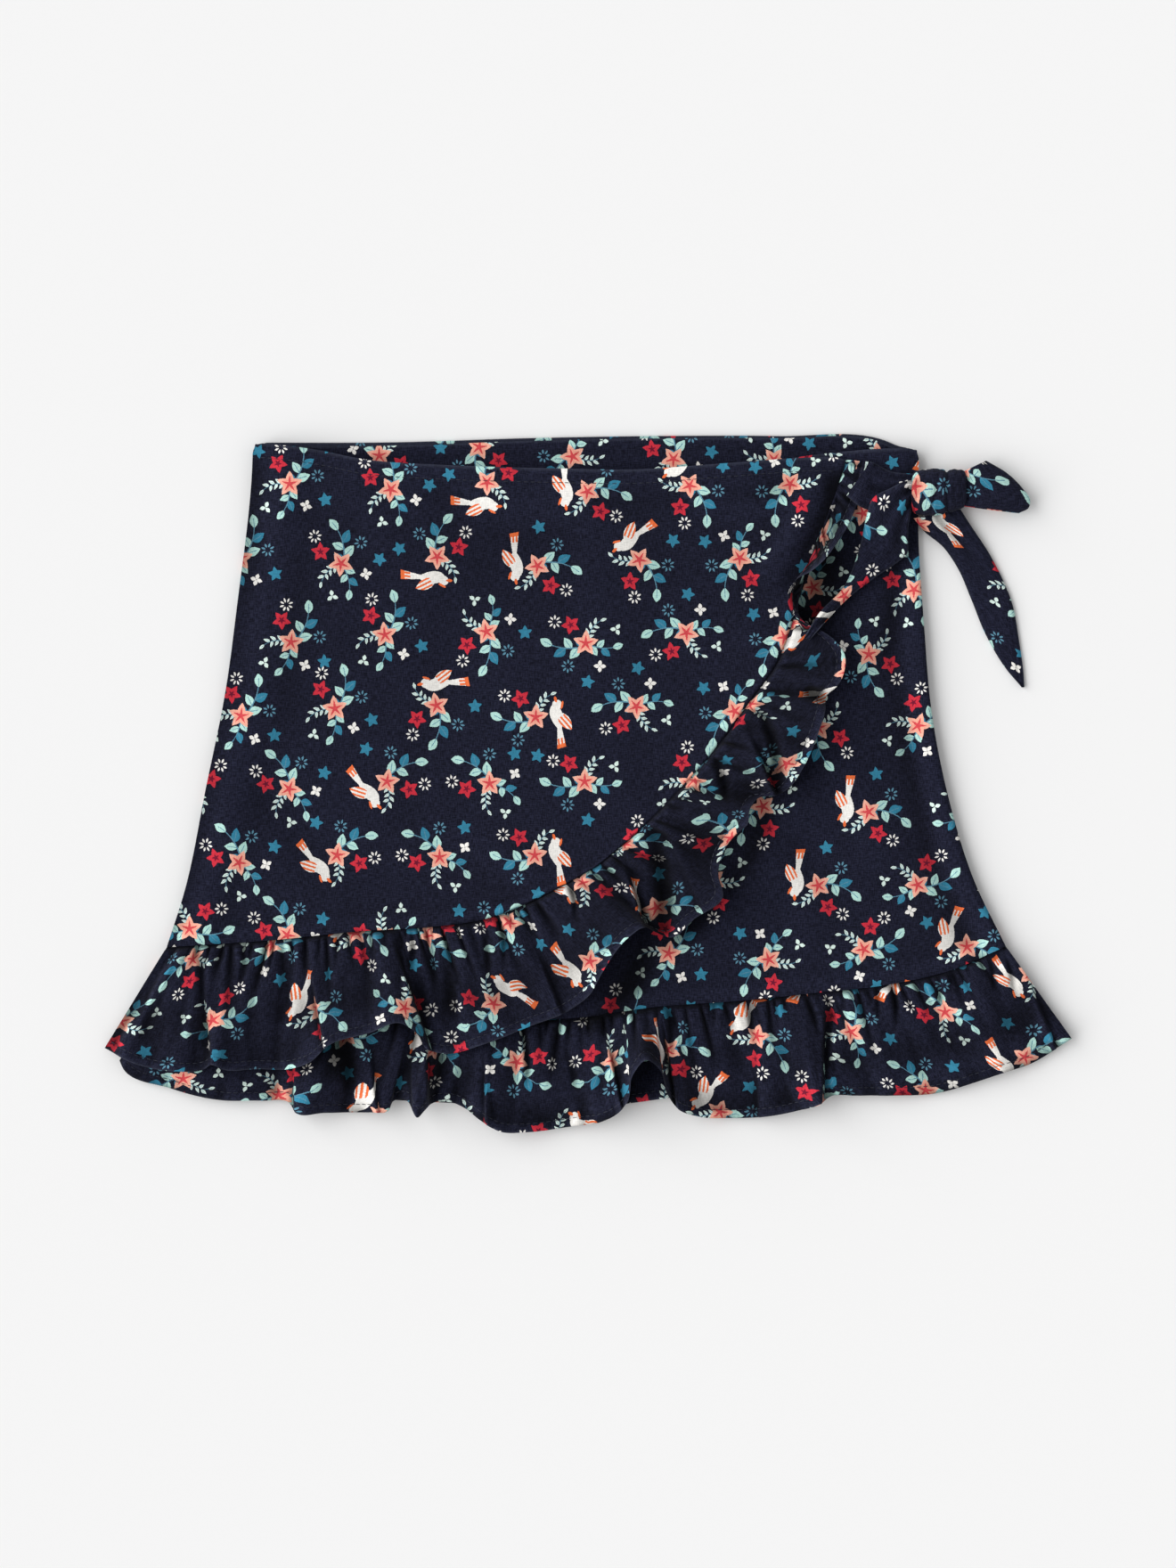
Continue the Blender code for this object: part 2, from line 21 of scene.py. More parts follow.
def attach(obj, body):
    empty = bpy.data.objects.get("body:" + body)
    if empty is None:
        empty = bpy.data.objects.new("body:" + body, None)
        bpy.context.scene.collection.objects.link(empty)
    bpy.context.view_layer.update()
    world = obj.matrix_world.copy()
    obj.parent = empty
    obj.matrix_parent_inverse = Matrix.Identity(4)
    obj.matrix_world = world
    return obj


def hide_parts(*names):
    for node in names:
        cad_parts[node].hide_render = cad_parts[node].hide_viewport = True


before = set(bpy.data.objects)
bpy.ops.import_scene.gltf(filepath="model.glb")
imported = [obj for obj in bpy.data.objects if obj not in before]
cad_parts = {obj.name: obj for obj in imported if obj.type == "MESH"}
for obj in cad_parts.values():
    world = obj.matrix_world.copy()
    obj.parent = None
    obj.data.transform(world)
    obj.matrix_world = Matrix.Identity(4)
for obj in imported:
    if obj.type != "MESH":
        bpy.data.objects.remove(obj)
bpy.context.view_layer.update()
LOG = logging.getLogger("wrap_skirt")
Array = np.ndarray

MM = 0.001
TAU = 2.0 * math.pi
SPACE = 0.12  # between one cloth and the next, in millimetres
EYE = 0.2  # height from which the solids' upper sides are found, in metres
FINE = 40  # steps in which a curve is measured, for each of its points
LATTICE = 64  # random values along a side of a landscape, after which it repeats
MOST_STEEP = 2.2  # the steepest that a wall is reckoned, times its thickness
SHARP_ANGLE = math.radians(72.0)
TIE_WIDTH = 18.0  # width of a tie, folded double, in millimetres

# Outlines of the laid skirt in millimetres, from left to right or from the waist down: (x, y)
BACK_WAIST = [(-140.2, 142.6), (-82.5, 142.9), (-22.5, 144.9), (40.0, 146.0), (79.9, 146.0),
              (124.9, 144.3), (131.2, 141.8), (138.3, 141.0)]
UNDER_WAIST = [(-133.5, 138.0), (-78.4, 133.2), (-18.0, 130.6), (58.5, 133.0), (100.0, 138.8),
               (119.6, 140.6), (139.0, 141.2)]
OVER_WAIST = [(-140.6, 143.6), (-113.6, 140.2), (-94.9, 136.4), (-61.9, 133.9), (-18.0, 132.5),
              (19.9, 132.0), (58.5, 134.6), (98.6, 137.1), (109.1, 137.0)]
LEFT_SIDE = [(-140.6, 143.6), (-141.2, 130.0), (-147.0, 78.8), (-152.4, 38.6), (-160.5, -1.5),
             (-169.5, -45.0), (-177.0, -68.6)]
RIGHT_SIDE = [(139.0, 141.2), (138.8, 106.1), (141.2, 66.8), (144.4, 30.0), (151.9, -7.5),
              (162.0, -40.0), (175.5, -68.2)]
FRONT_SEAM = [(-170.0, -70.5), (-140.0, -79.0), (-100.0, -89.0), (-55.0, -97.0), (-8.6, -98.6),
              (30.0, -93.6), (66.0, -91.0), (96.0, -87.8), (126.0, -84.4), (152.2, -78.4),
              (175.5, -68.2)]
BACK_SEAM = [(-176.0, -69.5), (-140.0, -80.0), (-80.0, -92.0), (0.0, -96.0), (80.0, -91.0),
             (140.0, -81.0), (174.7, -69.0)]
BACK_HEM = [(-201.5, -110.5), (-160.0, -128.5), (-80.0, -133.0), (15.4, -134.6), (35.0, -131.8),
            (100.0, -129.0), (150.0, -124.0), (201.5, -106.0)]
WRAP_SEAM = [(-177.0, -68.6), (-156.0, -67.3), (-130.1, -65.4), (-97.1, -62.0), (-63.0, -59.8),
             (-45.8, -57.4), (-14.2, -44.6), (3.8, -34.5), (20.6, -20.4), (36.4, -4.5),
             (51.4, 12.0), (69.4, 36.6), (79.0, 50.0), (86.2, 68.5), (91.9, 90.0),
             (103.1, 120.0), (109.1, 137.0)]
WRAP_CORNER = 7  # the point of WRAP_SEAM where the over-front's hem turns into its wrap edge

# Hem of the under-front ruffle, from left to right: (x, y)
UNDER_HEM = [
    (-196.9, -116.2), (-195.0, -120.0), (-175.5, -127.9), (-154.9, -132.8), (-136.9, -133.1),
    (-125.2, -134.2), (-123.2, -137.4), (-110.0, -138.0), (-98.5, -138.0), (-91.0, -137.8),
    (-83.8, -137.2), (-81.8, -133.2), (-75.2, -133.4), (-73.8, -136.0), (-71.4, -139.6),
    (-68.6, -137.0), (-66.0, -134.4), (-58.0, -133.6), (-51.8, -136.1), (-45.4, -141.0),
    (-36.0, -146.0), (-26.2, -146.2), (-5.2, -143.6), (5.2, -141.9), (12.0, -138.4),
    (16.4, -133.0), (19.0, -121.0), (24.6, -115.2), (29.4, -118.5), (33.4, -130.1),
    (38.0, -136.4), (46.9, -139.7), (60.0, -140.4), (72.0, -140.0), (87.4, -137.2),
    (98.2, -133.6), (101.6, -131.2), (112.0, -130.9), (127.5, -130.9), (146.6, -130.0),
    (162.0, -125.6), (174.0, -121.5), (186.0, -117.6), (203.2, -106.9),
]

# Hem of the wrap ruffle, from the left side up to the waist: (x, y, place on the seam)
WRAP_HEM = [
    (-203.2, -111.0, 0), (-188.0, -118.0, 8), (-172.9, -120.4, 18), (-161.0, -119.6, 26),
    (-157.9, -117.6, 29), (-151.9, -119.8, 34), (-139.9, -119.6, 44), (-124.9, -119.4, 56),
    (-117.0, -116.8, 63), (-108.0, -109.0, 70), (-92.0, -104.3, 84), (-78.0, -100.0, 94),
    (-71.5, -104.5, 99), (-67.5, -111.0, 103), (-61.0, -113.0, 108), (-43.1, -108.8, 122),
    (-24.0, -101.4, 137), (-8.0, -95.0, 149), (0.8, -88.1, 156), (5.6, -79.5, 163),
    (10.9, -71.0, 170), (17.0, -64.0, 177), (24.0, -60.0, 183), (28.0, -62.0, 187),
    (34.5, -64.5, 191), (44.6, -56.6, 196), (56.5, -47.0, 202), (54.6, -37.5, 209),
    (58.5, -25.5, 219), (62.5, -20.6, 225), (66.6, -17.0, 231), (67.8, -10.6, 237),
    (71.0, -6.2, 242), (79.9, -4.5, 247), (84.4, -1.6, 253), (88.6, 4.4, 261),
    (93.0, 12.6, 271), (96.6, 22.0, 281), (99.4, 31.0, 288), (100.2, 37.2, 292),
    (104.0, 40.6, 297), (107.2, 47.0, 303), (107.6, 53.5, 309), (103.4, 60.0, 315),
    (97.4, 64.4, 321), (91.5, 67.0, 327), (86.5, 70.5, 333), (83.8, 76.0, 339),
    (84.2, 81.6, 345), (87.5, 85.8, 350), (93.0, 88.8, 355), (98.2, 93.2, 361),
    (103.5, 99.8, 368), (108.0, 106.5, 375), (112.0, 115.0, 382), (116.0, 125.0, 389),
    (118.9, 135.0, 396),
]

# Sections across a tie, from the knot out: (edge x, y, other edge x, y)
STRAP_SECTIONS = [
    (137.4, 118.8, 137.4, 130.2), (132.0, 117.4, 132.6, 130.4), (127.0, 116.0, 127.8, 131.0),
    (119.6, 114.6, 124.0, 132.6), (113.4, 116.8, 121.2, 134.2), (108.4, 121.0, 118.4, 135.2),
]
LEFT_TAIL_SECTIONS = [
    (137.4, 118.6, 137.4, 127.4), (135.6, 114.6, 132.6, 126.8), (134.4, 108.8, 126.8, 124.0),
    (134.2, 102.4, 119.6, 120.0), (134.0, 97.0, 116.8, 112.6), (129.6, 92.8, 114.8, 102.6),
    (121.0, 87.0, 112.2, 93.6), (110.4, 79.0, 107.4, 82.8), (100.2, 68.6, 96.8, 71.6),
    (92.6, 60.2, 90.6, 61.6),
]
RIGHT_TAIL_SECTIONS = [
    (156.6, 115.4, 136.8, 111.6), (160.3, 109.6, 140.6, 107.0), (168.8, 96.8, 150.0, 99.0),
    (174.0, 87.0, 156.0, 90.0), (178.5, 75.8, 161.4, 77.4), (181.4, 60.0, 168.0, 61.6),
    (183.2, 47.0, 176.6, 47.6), (183.6, 40.8, 182.6, 40.6),
]

# Folds that run out from the knot along a tie: (place across from 0 to 1, height, reach)
STRAP_PLEATS = ((0.3, 0.9, 30.0), (0.5, -1.2, 26.0), (0.68, 0.9, 30.0), (0.86, -1.0, 26.0))
LEFT_TAIL_PLEATS = ((0.24, -1.5, 34.0), (0.46, 1.3, 38.0), (0.64, -1.2, 26.0), (0.84, 1.1, 30.0))
RIGHT_TAIL_PLEATS = ((0.3, 0.9, 24.0), (0.52, -1.2, 30.0), (0.78, 0.9, 22.0))


class Slot(Enum):
    """The record's material slots."""

    PRINTED = "printed_cotton"
    INNER = "cotton_inner_layers"


class Side(Enum):
    """The sides of a fold, as seen with the waist at the top."""

    LEFT = -1.0
    RIGHT = 1.0


# Soft troughs and ridges, and places of painted shade: start x, start y, end x, end y, height (for
# painted shade, its strength), width
OVER_CREASES = (  # the tie's pull at the over-front's corner, then its broad waves
    (106.0, 133.0, 84.0, 80.0, -2.8, 4.4), (97.0, 131.0, 72.0, 84.0, 1.9, 6.0),
    (104.0, 126.0, 52.0, 112.0, 0.6, 5.0), (-134.0, 120.0, -96.0, 60.0, 0.5, 9.0),
    (-60.0, 118.0, -84.0, -30.0, -0.45, 12.0), (10.0, 112.0, -22.0, -10.0, 0.5, 13.0),
    (-150.0, 10.0, -110.0, -50.0, -0.5, 10.0), (-60.0, -20.0, -20.0, -46.0, 0.6, 7.0),
)
# painted shade in the valley beside the wrap seam, under the tie
OVER_SHADES = ((108.0, 132.0, 87.0, 74.0, 1.7, 4.6),)
UNDER_CREASES = (
    (132.0, 108.0, 118.0, 40.0, -0.7, 6.0), (136.0, 60.0, 150.0, -50.0, 0.6, 8.0),
    (80.0, -18.0, 112.0, -72.0, -0.5, 9.0), (98.0, 14.0, 122.0, -40.0, 0.5, 8.0),
    (134.0, 128.0, 112.0, 118.0, 0.6, 4.0),
)
UNDER_SHADES = (  # where the wrap ruffle stands over the under-front, with the shade's strength
    (101.0, 104.0, 90.0, 58.0, 2.5, 7.5), (98.0, 42.0, 84.0, 4.0, 0.5, 4.0),
    (78.0, -2.0, 56.0, -48.0, 1.1, 4.5), (56.0, -46.0, 30.0, -70.0, 1.1, 4.5),
    (28.0, -62.0, 2.0, -104.0, 1.9, 5.5),
)
UNDER_CAST_SHADES = (  # painted shade where it stands over the under-front's ruffle
    (-107.0, -98.0, -105.0, -126.0, 2.2, 5.0), (-66.0, -98.0, -64.0, -126.0, 1.6, 3.4),
    (-98.0, -104.0, -72.0, -100.0, 0.8, 4.0), (8.0, -84.0, -2.0, -106.0, 1.5, 5.0),
    (-30.0, -102.0, 0.0, -90.0, 0.6, 4.0), (24.0, -104.0, 26.0, -124.0, 0.8, 4.0),
)
WRAP_TROUGHS = (
    (-164.2, -66.2, -163.1, -93.8, -1.4, 2.0), (-145.1, -64.5, -146.2, -84.5, -1.1, 1.1),
    (-129.0, -64.2, -128.2, -101.2, -1.6, 3.0), (-74.2, -57.8, -75.0, -78.9, -1.6, 1.5),
    (-82.5, -58.9, -78.0, -84.5, -1.4, 1.9), (-63.8, -58.9, -57.0, -101.2, -1.8, 2.8),
    (-39.0, -53.2, -35.2, -77.0, -1.4, 1.0), (-45.0, -58.9, -42.0, -80.6, -1.2, 1.3),
    (-9.0, -38.2, -5.2, -58.0, -1.2, 0.9), (25.5, -14.8, 31.5, -72.0, -3.2, 3.8),
    (52.5, 12.4, 58.1, -7.5, -1.8, 1.8), (72.0, 32.0, 80.2, -2.0, -2.4, 2.0),
    (90.9, 39.8, 103.2, 31.0, -3.2, 2.6), (106.8, 131.2, 92.0, 96.0, -1.6, 2.4),
)
UNDER_TROUGHS = (
    (-135.0, -112.2, -134.2, -139.0, -1.6, 2.4), (-102.0, -101.0, -102.8, -140.0, -2.2, 3.2),
    (-28.5, -99.2, -25.5, -125.8, -1.2, 1.1), (31.5, -84.0, 33.4, -120.1, -2.0, 2.2),
    (51.4, -83.0, 52.5, -103.2, -1.4, 1.2), (66.8, -82.2, 68.2, -103.2, -1.4, 1.1),
    (99.8, -82.0, 99.0, -116.4, -2.2, 2.0), (120.0, -81.4, 121.5, -99.5, -1.2, 0.9),
    (126.8, -79.5, 129.0, -103.2, -1.4, 1.1), (146.2, -76.5, 147.0, -95.8, -1.3, 0.9),
    (150.8, -76.5, 152.2, -89.1, -1.1, 0.8), (168.0, -71.0, 170.2, -87.2, -1.3, 0.9),
    (174.8, -70.2, 178.5, -87.2, -1.2, 0.9), (-9.4, -111.5, -5.6, -127.6, -0.9, 1.6),
)

# Larger folds: start x, start y, end x, end y, the side that lies on top, height, reach, hides
WRAP_FOLDS = (
    (-162.8, -68.2, -157.1, -120.8, Side.RIGHT, 1.7, 9.0, 5.0),
    (-118.9, -65.6, -109.5, -114.0, Side.RIGHT, 2.1, 10.0, 6.0),
    (-83.2, -61.9, -69.4, -102.0, Side.LEFT, 2.3, 9.0, 6.0),
    (-24.0, -63.8, -10.1, -98.2, Side.LEFT, 1.3, 7.0, 4.0),
    (13.9, -28.1, 24.8, -63.0, Side.LEFT, 3.0, 8.0, 6.0),
    (29.2, -13.1, 37.5, -30.8, Side.RIGHT, 0.9, 6.0, 3.0),
    (64.9, 27.8, 79.1, -5.2, Side.LEFT, 2.6, 7.0, 5.0),
)
UNDER_FOLDS = (
    (-123.4, -112.2, -123.4, -139.5, Side.RIGHT, 1.9, 9.0, 5.0),
    (-93.0, -100.9, -87.8, -140.0, Side.LEFT, 1.3, 6.0, 5.0),
    (-74.2, -112.5, -73.5, -142.2, Side.RIGHT, 2.2, 6.0, 4.0),
    (-68.2, -105.0, -66.4, -138.0, Side.LEFT, 2.2, 6.0, 5.0),
    (-43.1, -103.0, -43.1, -145.2, Side.RIGHT, 1.7, 9.0, 5.0),
    (6.0, -99.2, 15.0, -138.8, Side.LEFT, 1.7, 7.0, 5.0),
    (30.0, -89.2, 37.5, -137.2, Side.RIGHT, 2.3, 8.0, 6.0),
    (70.5, -100.0, 72.0, -143.8, Side.RIGHT, 1.0, 7.0, 3.0),
    (99.8, -84.2, 98.2, -135.0, Side.LEFT, 2.2, 9.0, 6.0),
    (180.8, -72.2, 199.5, -117.8, Side.LEFT, 1.3, 6.0, 4.0),
)

# Along a ruffle's seam, place from 0 to 1 and: how far the hem rises, how far the cloth rises
# beside the seam, and how much the gathers keep the light off
UNDER_LIFTS = ((0.0, 0.0), (0.29, 0.0), (0.305, 1.5), (0.33, 0.0), (0.52, 0.0), (0.545, 4.0),
               (0.56, 4.5), (0.58, 2.0), (0.6, 0.0), (0.73, 0.0), (0.75, 1.5), (0.79, 0.0))
WRAP_LIFTS = ((0.0, 0.0), (0.168, 0.0), (0.19, 2.2), (0.225, 3.6), (0.25, 0.8), (0.27, 0.0),
              (0.36, 0.0), (0.385, 1.0), (0.42, 4.0), (0.455, 4.5), (0.478, 1.5), (0.51, 2.5),
              (0.55, 3.0), (0.6, 2.4), (0.68, 2.5), (0.78, 3.5), (0.83, 5.0), (0.86, 6.0),
              (0.885, 5.5), (0.92, 3.0), (0.96, 1.0), (1.0, 0.0))
WRAP_PUFFS = ((0.0, 2.4), (0.34, 2.6), (0.42, 3.6), (0.75, 3.8), (0.86, 2.4), (1.0, 0.8))
WRAP_SHADES = ((0.0, 0.3), (0.4, 0.4), (0.46, 0.75), (0.82, 0.75), (0.85, 1.4), (0.93, 1.4),
               (0.97, 0.7), (1.0, 0.5))


# ---------------------------------------------------------------- curves, grids and soft noise


def smooth_curve(points: list | Array, count: int) -> Array:
    """A smooth curve through points.

    Args:
        points: Rows of numbers, the first two of them x and y.
        count: How many rows to return.

    Returns:
        Rows of the curve, evenly spaced by length in the plane of x and y.
    """
    rows = np.array(points, float)
    place = run_along(rows[:, :2])
    slopes = np.gradient(rows, place, axis=0)
    fine = np.linspace(0.0, place[-1], FINE * len(rows))
    span = np.clip(np.searchsorted(place, fine, side="right") - 1, 0, len(rows) - 2)
    width = (place[span + 1] - place[span])[:, None]
    t = (fine - place[span])[:, None] / width
    curve = ((2 * t**3 - 3 * t**2 + 1) * rows[span] + (t**3 - 2 * t**2 + t) * width * slopes[span]
             + (3 * t**2 - 2 * t**3) * rows[span + 1] + (t**3 - t**2) * width * slopes[span + 1])
    run = run_along(curve[:, :2])
    return points_at(np.linspace(0.0, run[-1], count), run, curve)


def patch(top: list, bottom: list, left: list, right: list, grid: tuple[int, int]) -> Array:
    """Plan of a panel inside four edges.

    Args:
        top: The waist edge, from left to right.
        bottom: The hem seam, from left to right.
        left: The left edge, from the waist down.
        right: The right edge, from the waist down.
        grid: Cells across and cells down.

    Returns:
        An array of rows of points, from the waist down.
    """
    columns, rows = grid
    u = np.linspace(0.0, 1.0, columns + 1)[None, :, None]
    v = np.linspace(0.0, 1.0, rows + 1)[:, None, None]
    t, b = (smooth_curve(edge, columns + 1)[None, :, :2] for edge in (top, bottom))
    le, r = (smooth_curve(edge, rows + 1)[:, None, :2] for edge in (left, right))
    corners = ((1 - u) * (1 - v) * t[:, :1] + u * (1 - v) * t[:, -1:]
               + (1 - u) * v * b[:, :1] + u * v * b[:, -1:])
    return (1 - v) * t + v * b + (1 - u) * le + u * r - corners


def neighbours(grid: Array, **padding: object) -> Array:
    """The values on four sides of each value of a grid, which is padded as numpy's pad does."""
    wide = np.pad(grid, 1, **padding)
    return np.stack([wide[:-2, 1:-1], wide[2:, 1:-1], wide[1:-1, :-2], wide[1:-1, 2:]])


def evened(grid: Array, times: int = 1) -> Array:
    """A grid smoothed by averaging.

    Args:
        grid: Rows of values.
        times: How often each value is replaced by the mean of itself and its neighbours.

    Returns:
        The smoothed grid.
    """
    for _ in range(times):
        grid = (grid + neighbours(grid, mode="edge").sum(axis=0)) / 5.0
    return grid


def widened(grid: Array, cells: int) -> Array:
    """A grid whose high places reach further out and end softly.

    Args:
        grid: Rows of values.
        cells: How far they reach.

    Returns:
        The widened grid, nowhere lower than the one given.
    """
    wide = grid
    for _ in range(cells):
        wide = np.maximum(wide, neighbours(wide, mode="edge").max(axis=0))
    return np.maximum(grid, evened(wide, 2 * cells))


def filled(grid: Array) -> Array:
    """The grid with each missing value taken from the values beside it."""
    while np.isnan(grid).any():
        beside = neighbours(grid, constant_values=np.nan)
        known = ~np.isnan(beside)
        mean = np.where(known, beside, 0.0).sum(axis=0) / np.maximum(known.sum(axis=0), 1)
        grid = np.where(np.isnan(grid) & known.any(axis=0), mean, grid)
    return grid


def soft_step(value: Array, low: float, high: float) -> Array:
    """A smooth rise from 0 at low to 1 at high; low may be the larger of the two."""
    t = np.clip((value - low) / (high - low), 0.0, 1.0)
    return t * t * (3.0 - 2.0 * t)


def bell(off: Array, width: float | Array) -> Array:
    """A smooth hill, 1 in its middle and down to a third at its width from there."""
    return np.exp(-((off / width) ** 2))


def read_off(table: tuple, places: Array) -> Array:
    """Values at places, from rows of (place, value) with straight lines between them."""
    rows = np.array(table)
    return np.interp(places, rows[:, 0], rows[:, 1])


def hills(places: Array, pitch: tuple[float, float], seed: int) -> Array:
    """Soft random hills and hollows.

    Args:
        places: Points, the last axis of the array being x and y.
        pitch: Distance from hill to hollow along x and along y.
        seed: Chooses one of many landscapes.

    Returns:
        Heights from about -1 to 1.
    """
    lattice = np.random.default_rng(seed).uniform(-1.0, 1.0, (LATTICE, LATTICE))
    place = places / np.array(pitch) + LATTICE**2
    cell = np.floor(place).astype(int)
    t = soft_step(place - cell, 0.0, 1.0)
    i, j = cell[..., 0] % LATTICE, cell[..., 1] % LATTICE
    i2, j2 = (i + 1) % LATTICE, (j + 1) % LATTICE
    a, b = t[..., 0], t[..., 1]
    return ((1 - a) * (1 - b) * lattice[i, j] + a * (1 - b) * lattice[i2, j]
            + (1 - a) * b * lattice[i, j2] + a * b * lattice[i2, j2])


def run_along(points: Array) -> Array:
    """Length from the first point to each point of a line."""
    steps = np.linalg.norm(np.diff(points, axis=0), axis=-1)
    return np.concatenate([np.zeros_like(steps[:1]), np.cumsum(steps, axis=0)])


def points_at(wanted: Array, run: Array, line: Array) -> Array:
    """Points of a line at wanted lengths, where run is the length up to each given point."""
    return np.stack([np.interp(wanted, run, column) for column in line.T], axis=1)


@dataclass(frozen=True)
class Line:
    """A straight line on the laid cloth, in millimetres.

    Attributes:
        start: Where it begins, x and y.
        end: Where it ends.
    """

    start: tuple[float, float]
    end: tuple[float, float]

    @classmethod
    def rows(cls, table: tuple) -> tuple:
        """One for each row of a table: start x, start y, end x, end y and the other fields."""
        return tuple(cls(row[:2], row[2:4], *row[4:]) for row in table)

    def measure(self, plan: Array) -> tuple[float, Array, Array]:
        """Where points lie beside the line.

        Args:
            plan: The points.

        Returns:
            The line's length, and for each point the part of the way along it and the distance
            to its left, going from start to end.
        """
        along = np.subtract(self.end, self.start)
        length = np.linalg.norm(along)
        ahead = along / length
        away = plan - np.array(self.start)
        return length, away @ ahead / length, away @ np.array([-ahead[1], ahead[0]])


@dataclass(frozen=True)
class Crease(Line):
    """A soft trough or ridge that bends a little off its line and dies out at both ends.

    Attributes:
        height: Over the cloth in its middle; a trough's is negative.
        width: From its middle to where it has sunk to a third.
    """

    BEND = 0.06  # of its length

    height: float
    width: float

    def relief(self, plan: Array) -> Array:
        """Heights that the crease adds at points of a plan."""
        length, part, off = self.measure(plan)
        arch = np.sin(math.pi * np.clip(part, 0.0, 1.0))
        return self.height * arch**0.8 * bell(off - self.BEND * length * arch, self.width)


@dataclass(frozen=True)
class Fold(Line):
    """A fold of a ruffle, where one side of a line lies on the other and hides some cloth.

    Attributes:
        upper: The side that lies on top.
        height: Of the upper side over the lower one, at the hem.
        reach: How far the upper side takes to sink back.
        hides: Length of the cloth that it hides, at the hem.
    """

    DIP_REACH = 2.5  # of the lower side's dip beside the fold

    upper: Side
    height: float
    reach: float
    hides: float

    def lie(self, plan: Array) -> tuple[Array, Array]:
        """How the fold lies.

        Args:
            plan: Points of the ruffle.

        Returns:
            Heights, and the length of cloth hidden up to each point.
        """
        _, part, right = self.measure(plan)
        strength = soft_step(part, 0.0, 0.7)
        over = right * self.upper.value
        top = soft_step(over, -0.5, 0.5) * np.exp(-np.maximum(over, 0.0) / self.reach)
        dip = soft_step(over, 0.3, -0.5) * np.exp(np.minimum(over, 0.0) / self.DIP_REACH)
        middle = -0.5 * self.upper.value
        hidden = self.hides * strength * soft_step(right, middle - 0.6, middle + 0.6)
        return self.height * strength * (top - 0.3 * dip), hidden


@dataclass(frozen=True)
class Gathers:
    """The small uneven furrows where a longer edge is gathered into a shorter seam.

    Attributes:
        seed: Chooses their places, sizes and slants.
        spacing: Least and greatest distance from one furrow to the next, in millimetres.
        depth: Least and greatest depth.
        length: Least and greatest length from the seam.
        width: Least and greatest half width at the seam.
        hides: Cloth hidden in a furrow, for each millimetre of its depth.
    """

    seed: int
    spacing: tuple[float, float] = (2.3, 6.4)
    depth: tuple[float, float] = (1.4, 4.2)
    length: tuple[float, float] = (8.0, 40.0)
    width: tuple[float, float] = (0.55, 1.3)
    hides: float = 1.2

    SLANT = 0.16  # the greatest, sideways for each millimetre from the seam

    def lie(self, along: Array, off: Array) -> tuple[Array, Array]:
        """How the furrows lie.

        Args:
            along: Distance along the seam.
            off: Distance from the seam.

        Returns:
            Heights, all of them 0 or below, and the length of cloth hidden up to each point.
        """
        chance = np.random.default_rng(self.seed)
        relief = np.zeros(np.broadcast(along, off).shape)
        hidden = np.zeros_like(relief)
        place = float(along.min()) + chance.uniform(*self.spacing)
        while place < along.max():
            depth, width = chance.uniform(*self.depth), chance.uniform(*self.width)
            length = self.length[0] + (self.length[1] - self.length[0]) * chance.random() ** 1.7
            slant = chance.uniform(-self.SLANT, self.SLANT)
            spread = width * (1.0 + 1.4 * np.clip(off / length, 0.0, 1.5))
            fade = np.clip(1.0 - off / length, 0.0, 1.0) ** 1.1
            side = (along - place - slant * off) / spread
            relief -= depth * soft_step(off, 0.0, 1.0) * fade * np.exp(-np.abs(side) ** 1.4)
            hidden += depth * self.hides * fade * (0.5 + 0.5 * np.tanh(1.5 * side))
            place += chance.uniform(*self.spacing)
        return relief, hidden


# ---------------------------------------------------------------- shells of cloth


class Tops:
    """The upper surfaces of shapes, found by looking straight down at them."""

    def __init__(self, *shapes: Object) -> None:
        """Takes the shapes to look at."""
        self.trees = [
            BVHTree.FromPolygons([v.co for v in shape.data.vertices],
                                 [face.vertices for face in shape.data.polygons])
            for shape in shapes
        ]

    def heights(self, plan: Array) -> Array:
        """The highest surface over each point.

        Args:
            plan: Points in millimetres.

        Returns:
            Heights in millimetres, NaN where there is nothing.
        """
        down = Vector((0.0, 0.0, -1.0))
        found = np.full(plan.shape[:-1], np.nan)
        flat = found.reshape(-1)
        for number, (x, y) in enumerate(plan.reshape(-1, 2) * MM):
            for tree in self.trees:
                hit = tree.ray_cast(Vector((x, y, EYE)), down)[0]
                if hit is not None and not flat[number] > hit.z / MM:
                    flat[number] = hit.z / MM
        return found


def solid_top(node: str, plan: Array, times: int, sunk: float, hidden_rows: int = 0) -> Array:
    """Heights of a solid's upper side, evened and a little lower.

    Args:
        node: The solid.
        plan: Points in millimetres.
        times: How often the heights are evened.
        sunk: How much lower they are.
        hidden_rows: First rows that take their heights from the row after them.

    Returns:
        Heights in millimetres.
    """
    top = Tops(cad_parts[node]).heights(plan)
    top[:hidden_rows] = np.nan
    return evened(filled(top), times) - sunk


def steepness(plan: Array, top: Array) -> Array:
    """How much taller than its wall a sheet is, straight up, at each of its points.

    Args:
        plan: Rows of points.
        top: Their heights.

    Returns:
        Numbers from 1 up.
    """
    across, down = (np.gradient(plan, axis=axis) for axis in (1, 0))
    rise_across, rise_down = (np.gradient(top, axis=axis) for axis in (1, 0))
    area = across[..., 0] * down[..., 1] - across[..., 1] * down[..., 0]
    area = np.where(np.abs(area) < 1e-3, 1e-3, area)
    slope_x = (rise_across * down[..., 1] - rise_down * across[..., 1]) / area
    slope_y = (rise_down * across[..., 0] - rise_across * down[..., 0]) / area
    return evened(np.minimum(np.sqrt(1.0 + slope_x**2 + slope_y**2), MOST_STEEP))


def quads(*corners: Array) -> Array:
    """Faces of four points, from the point numbers at the corners of each."""
    return np.stack(corners, axis=-1).reshape(-1, 4)


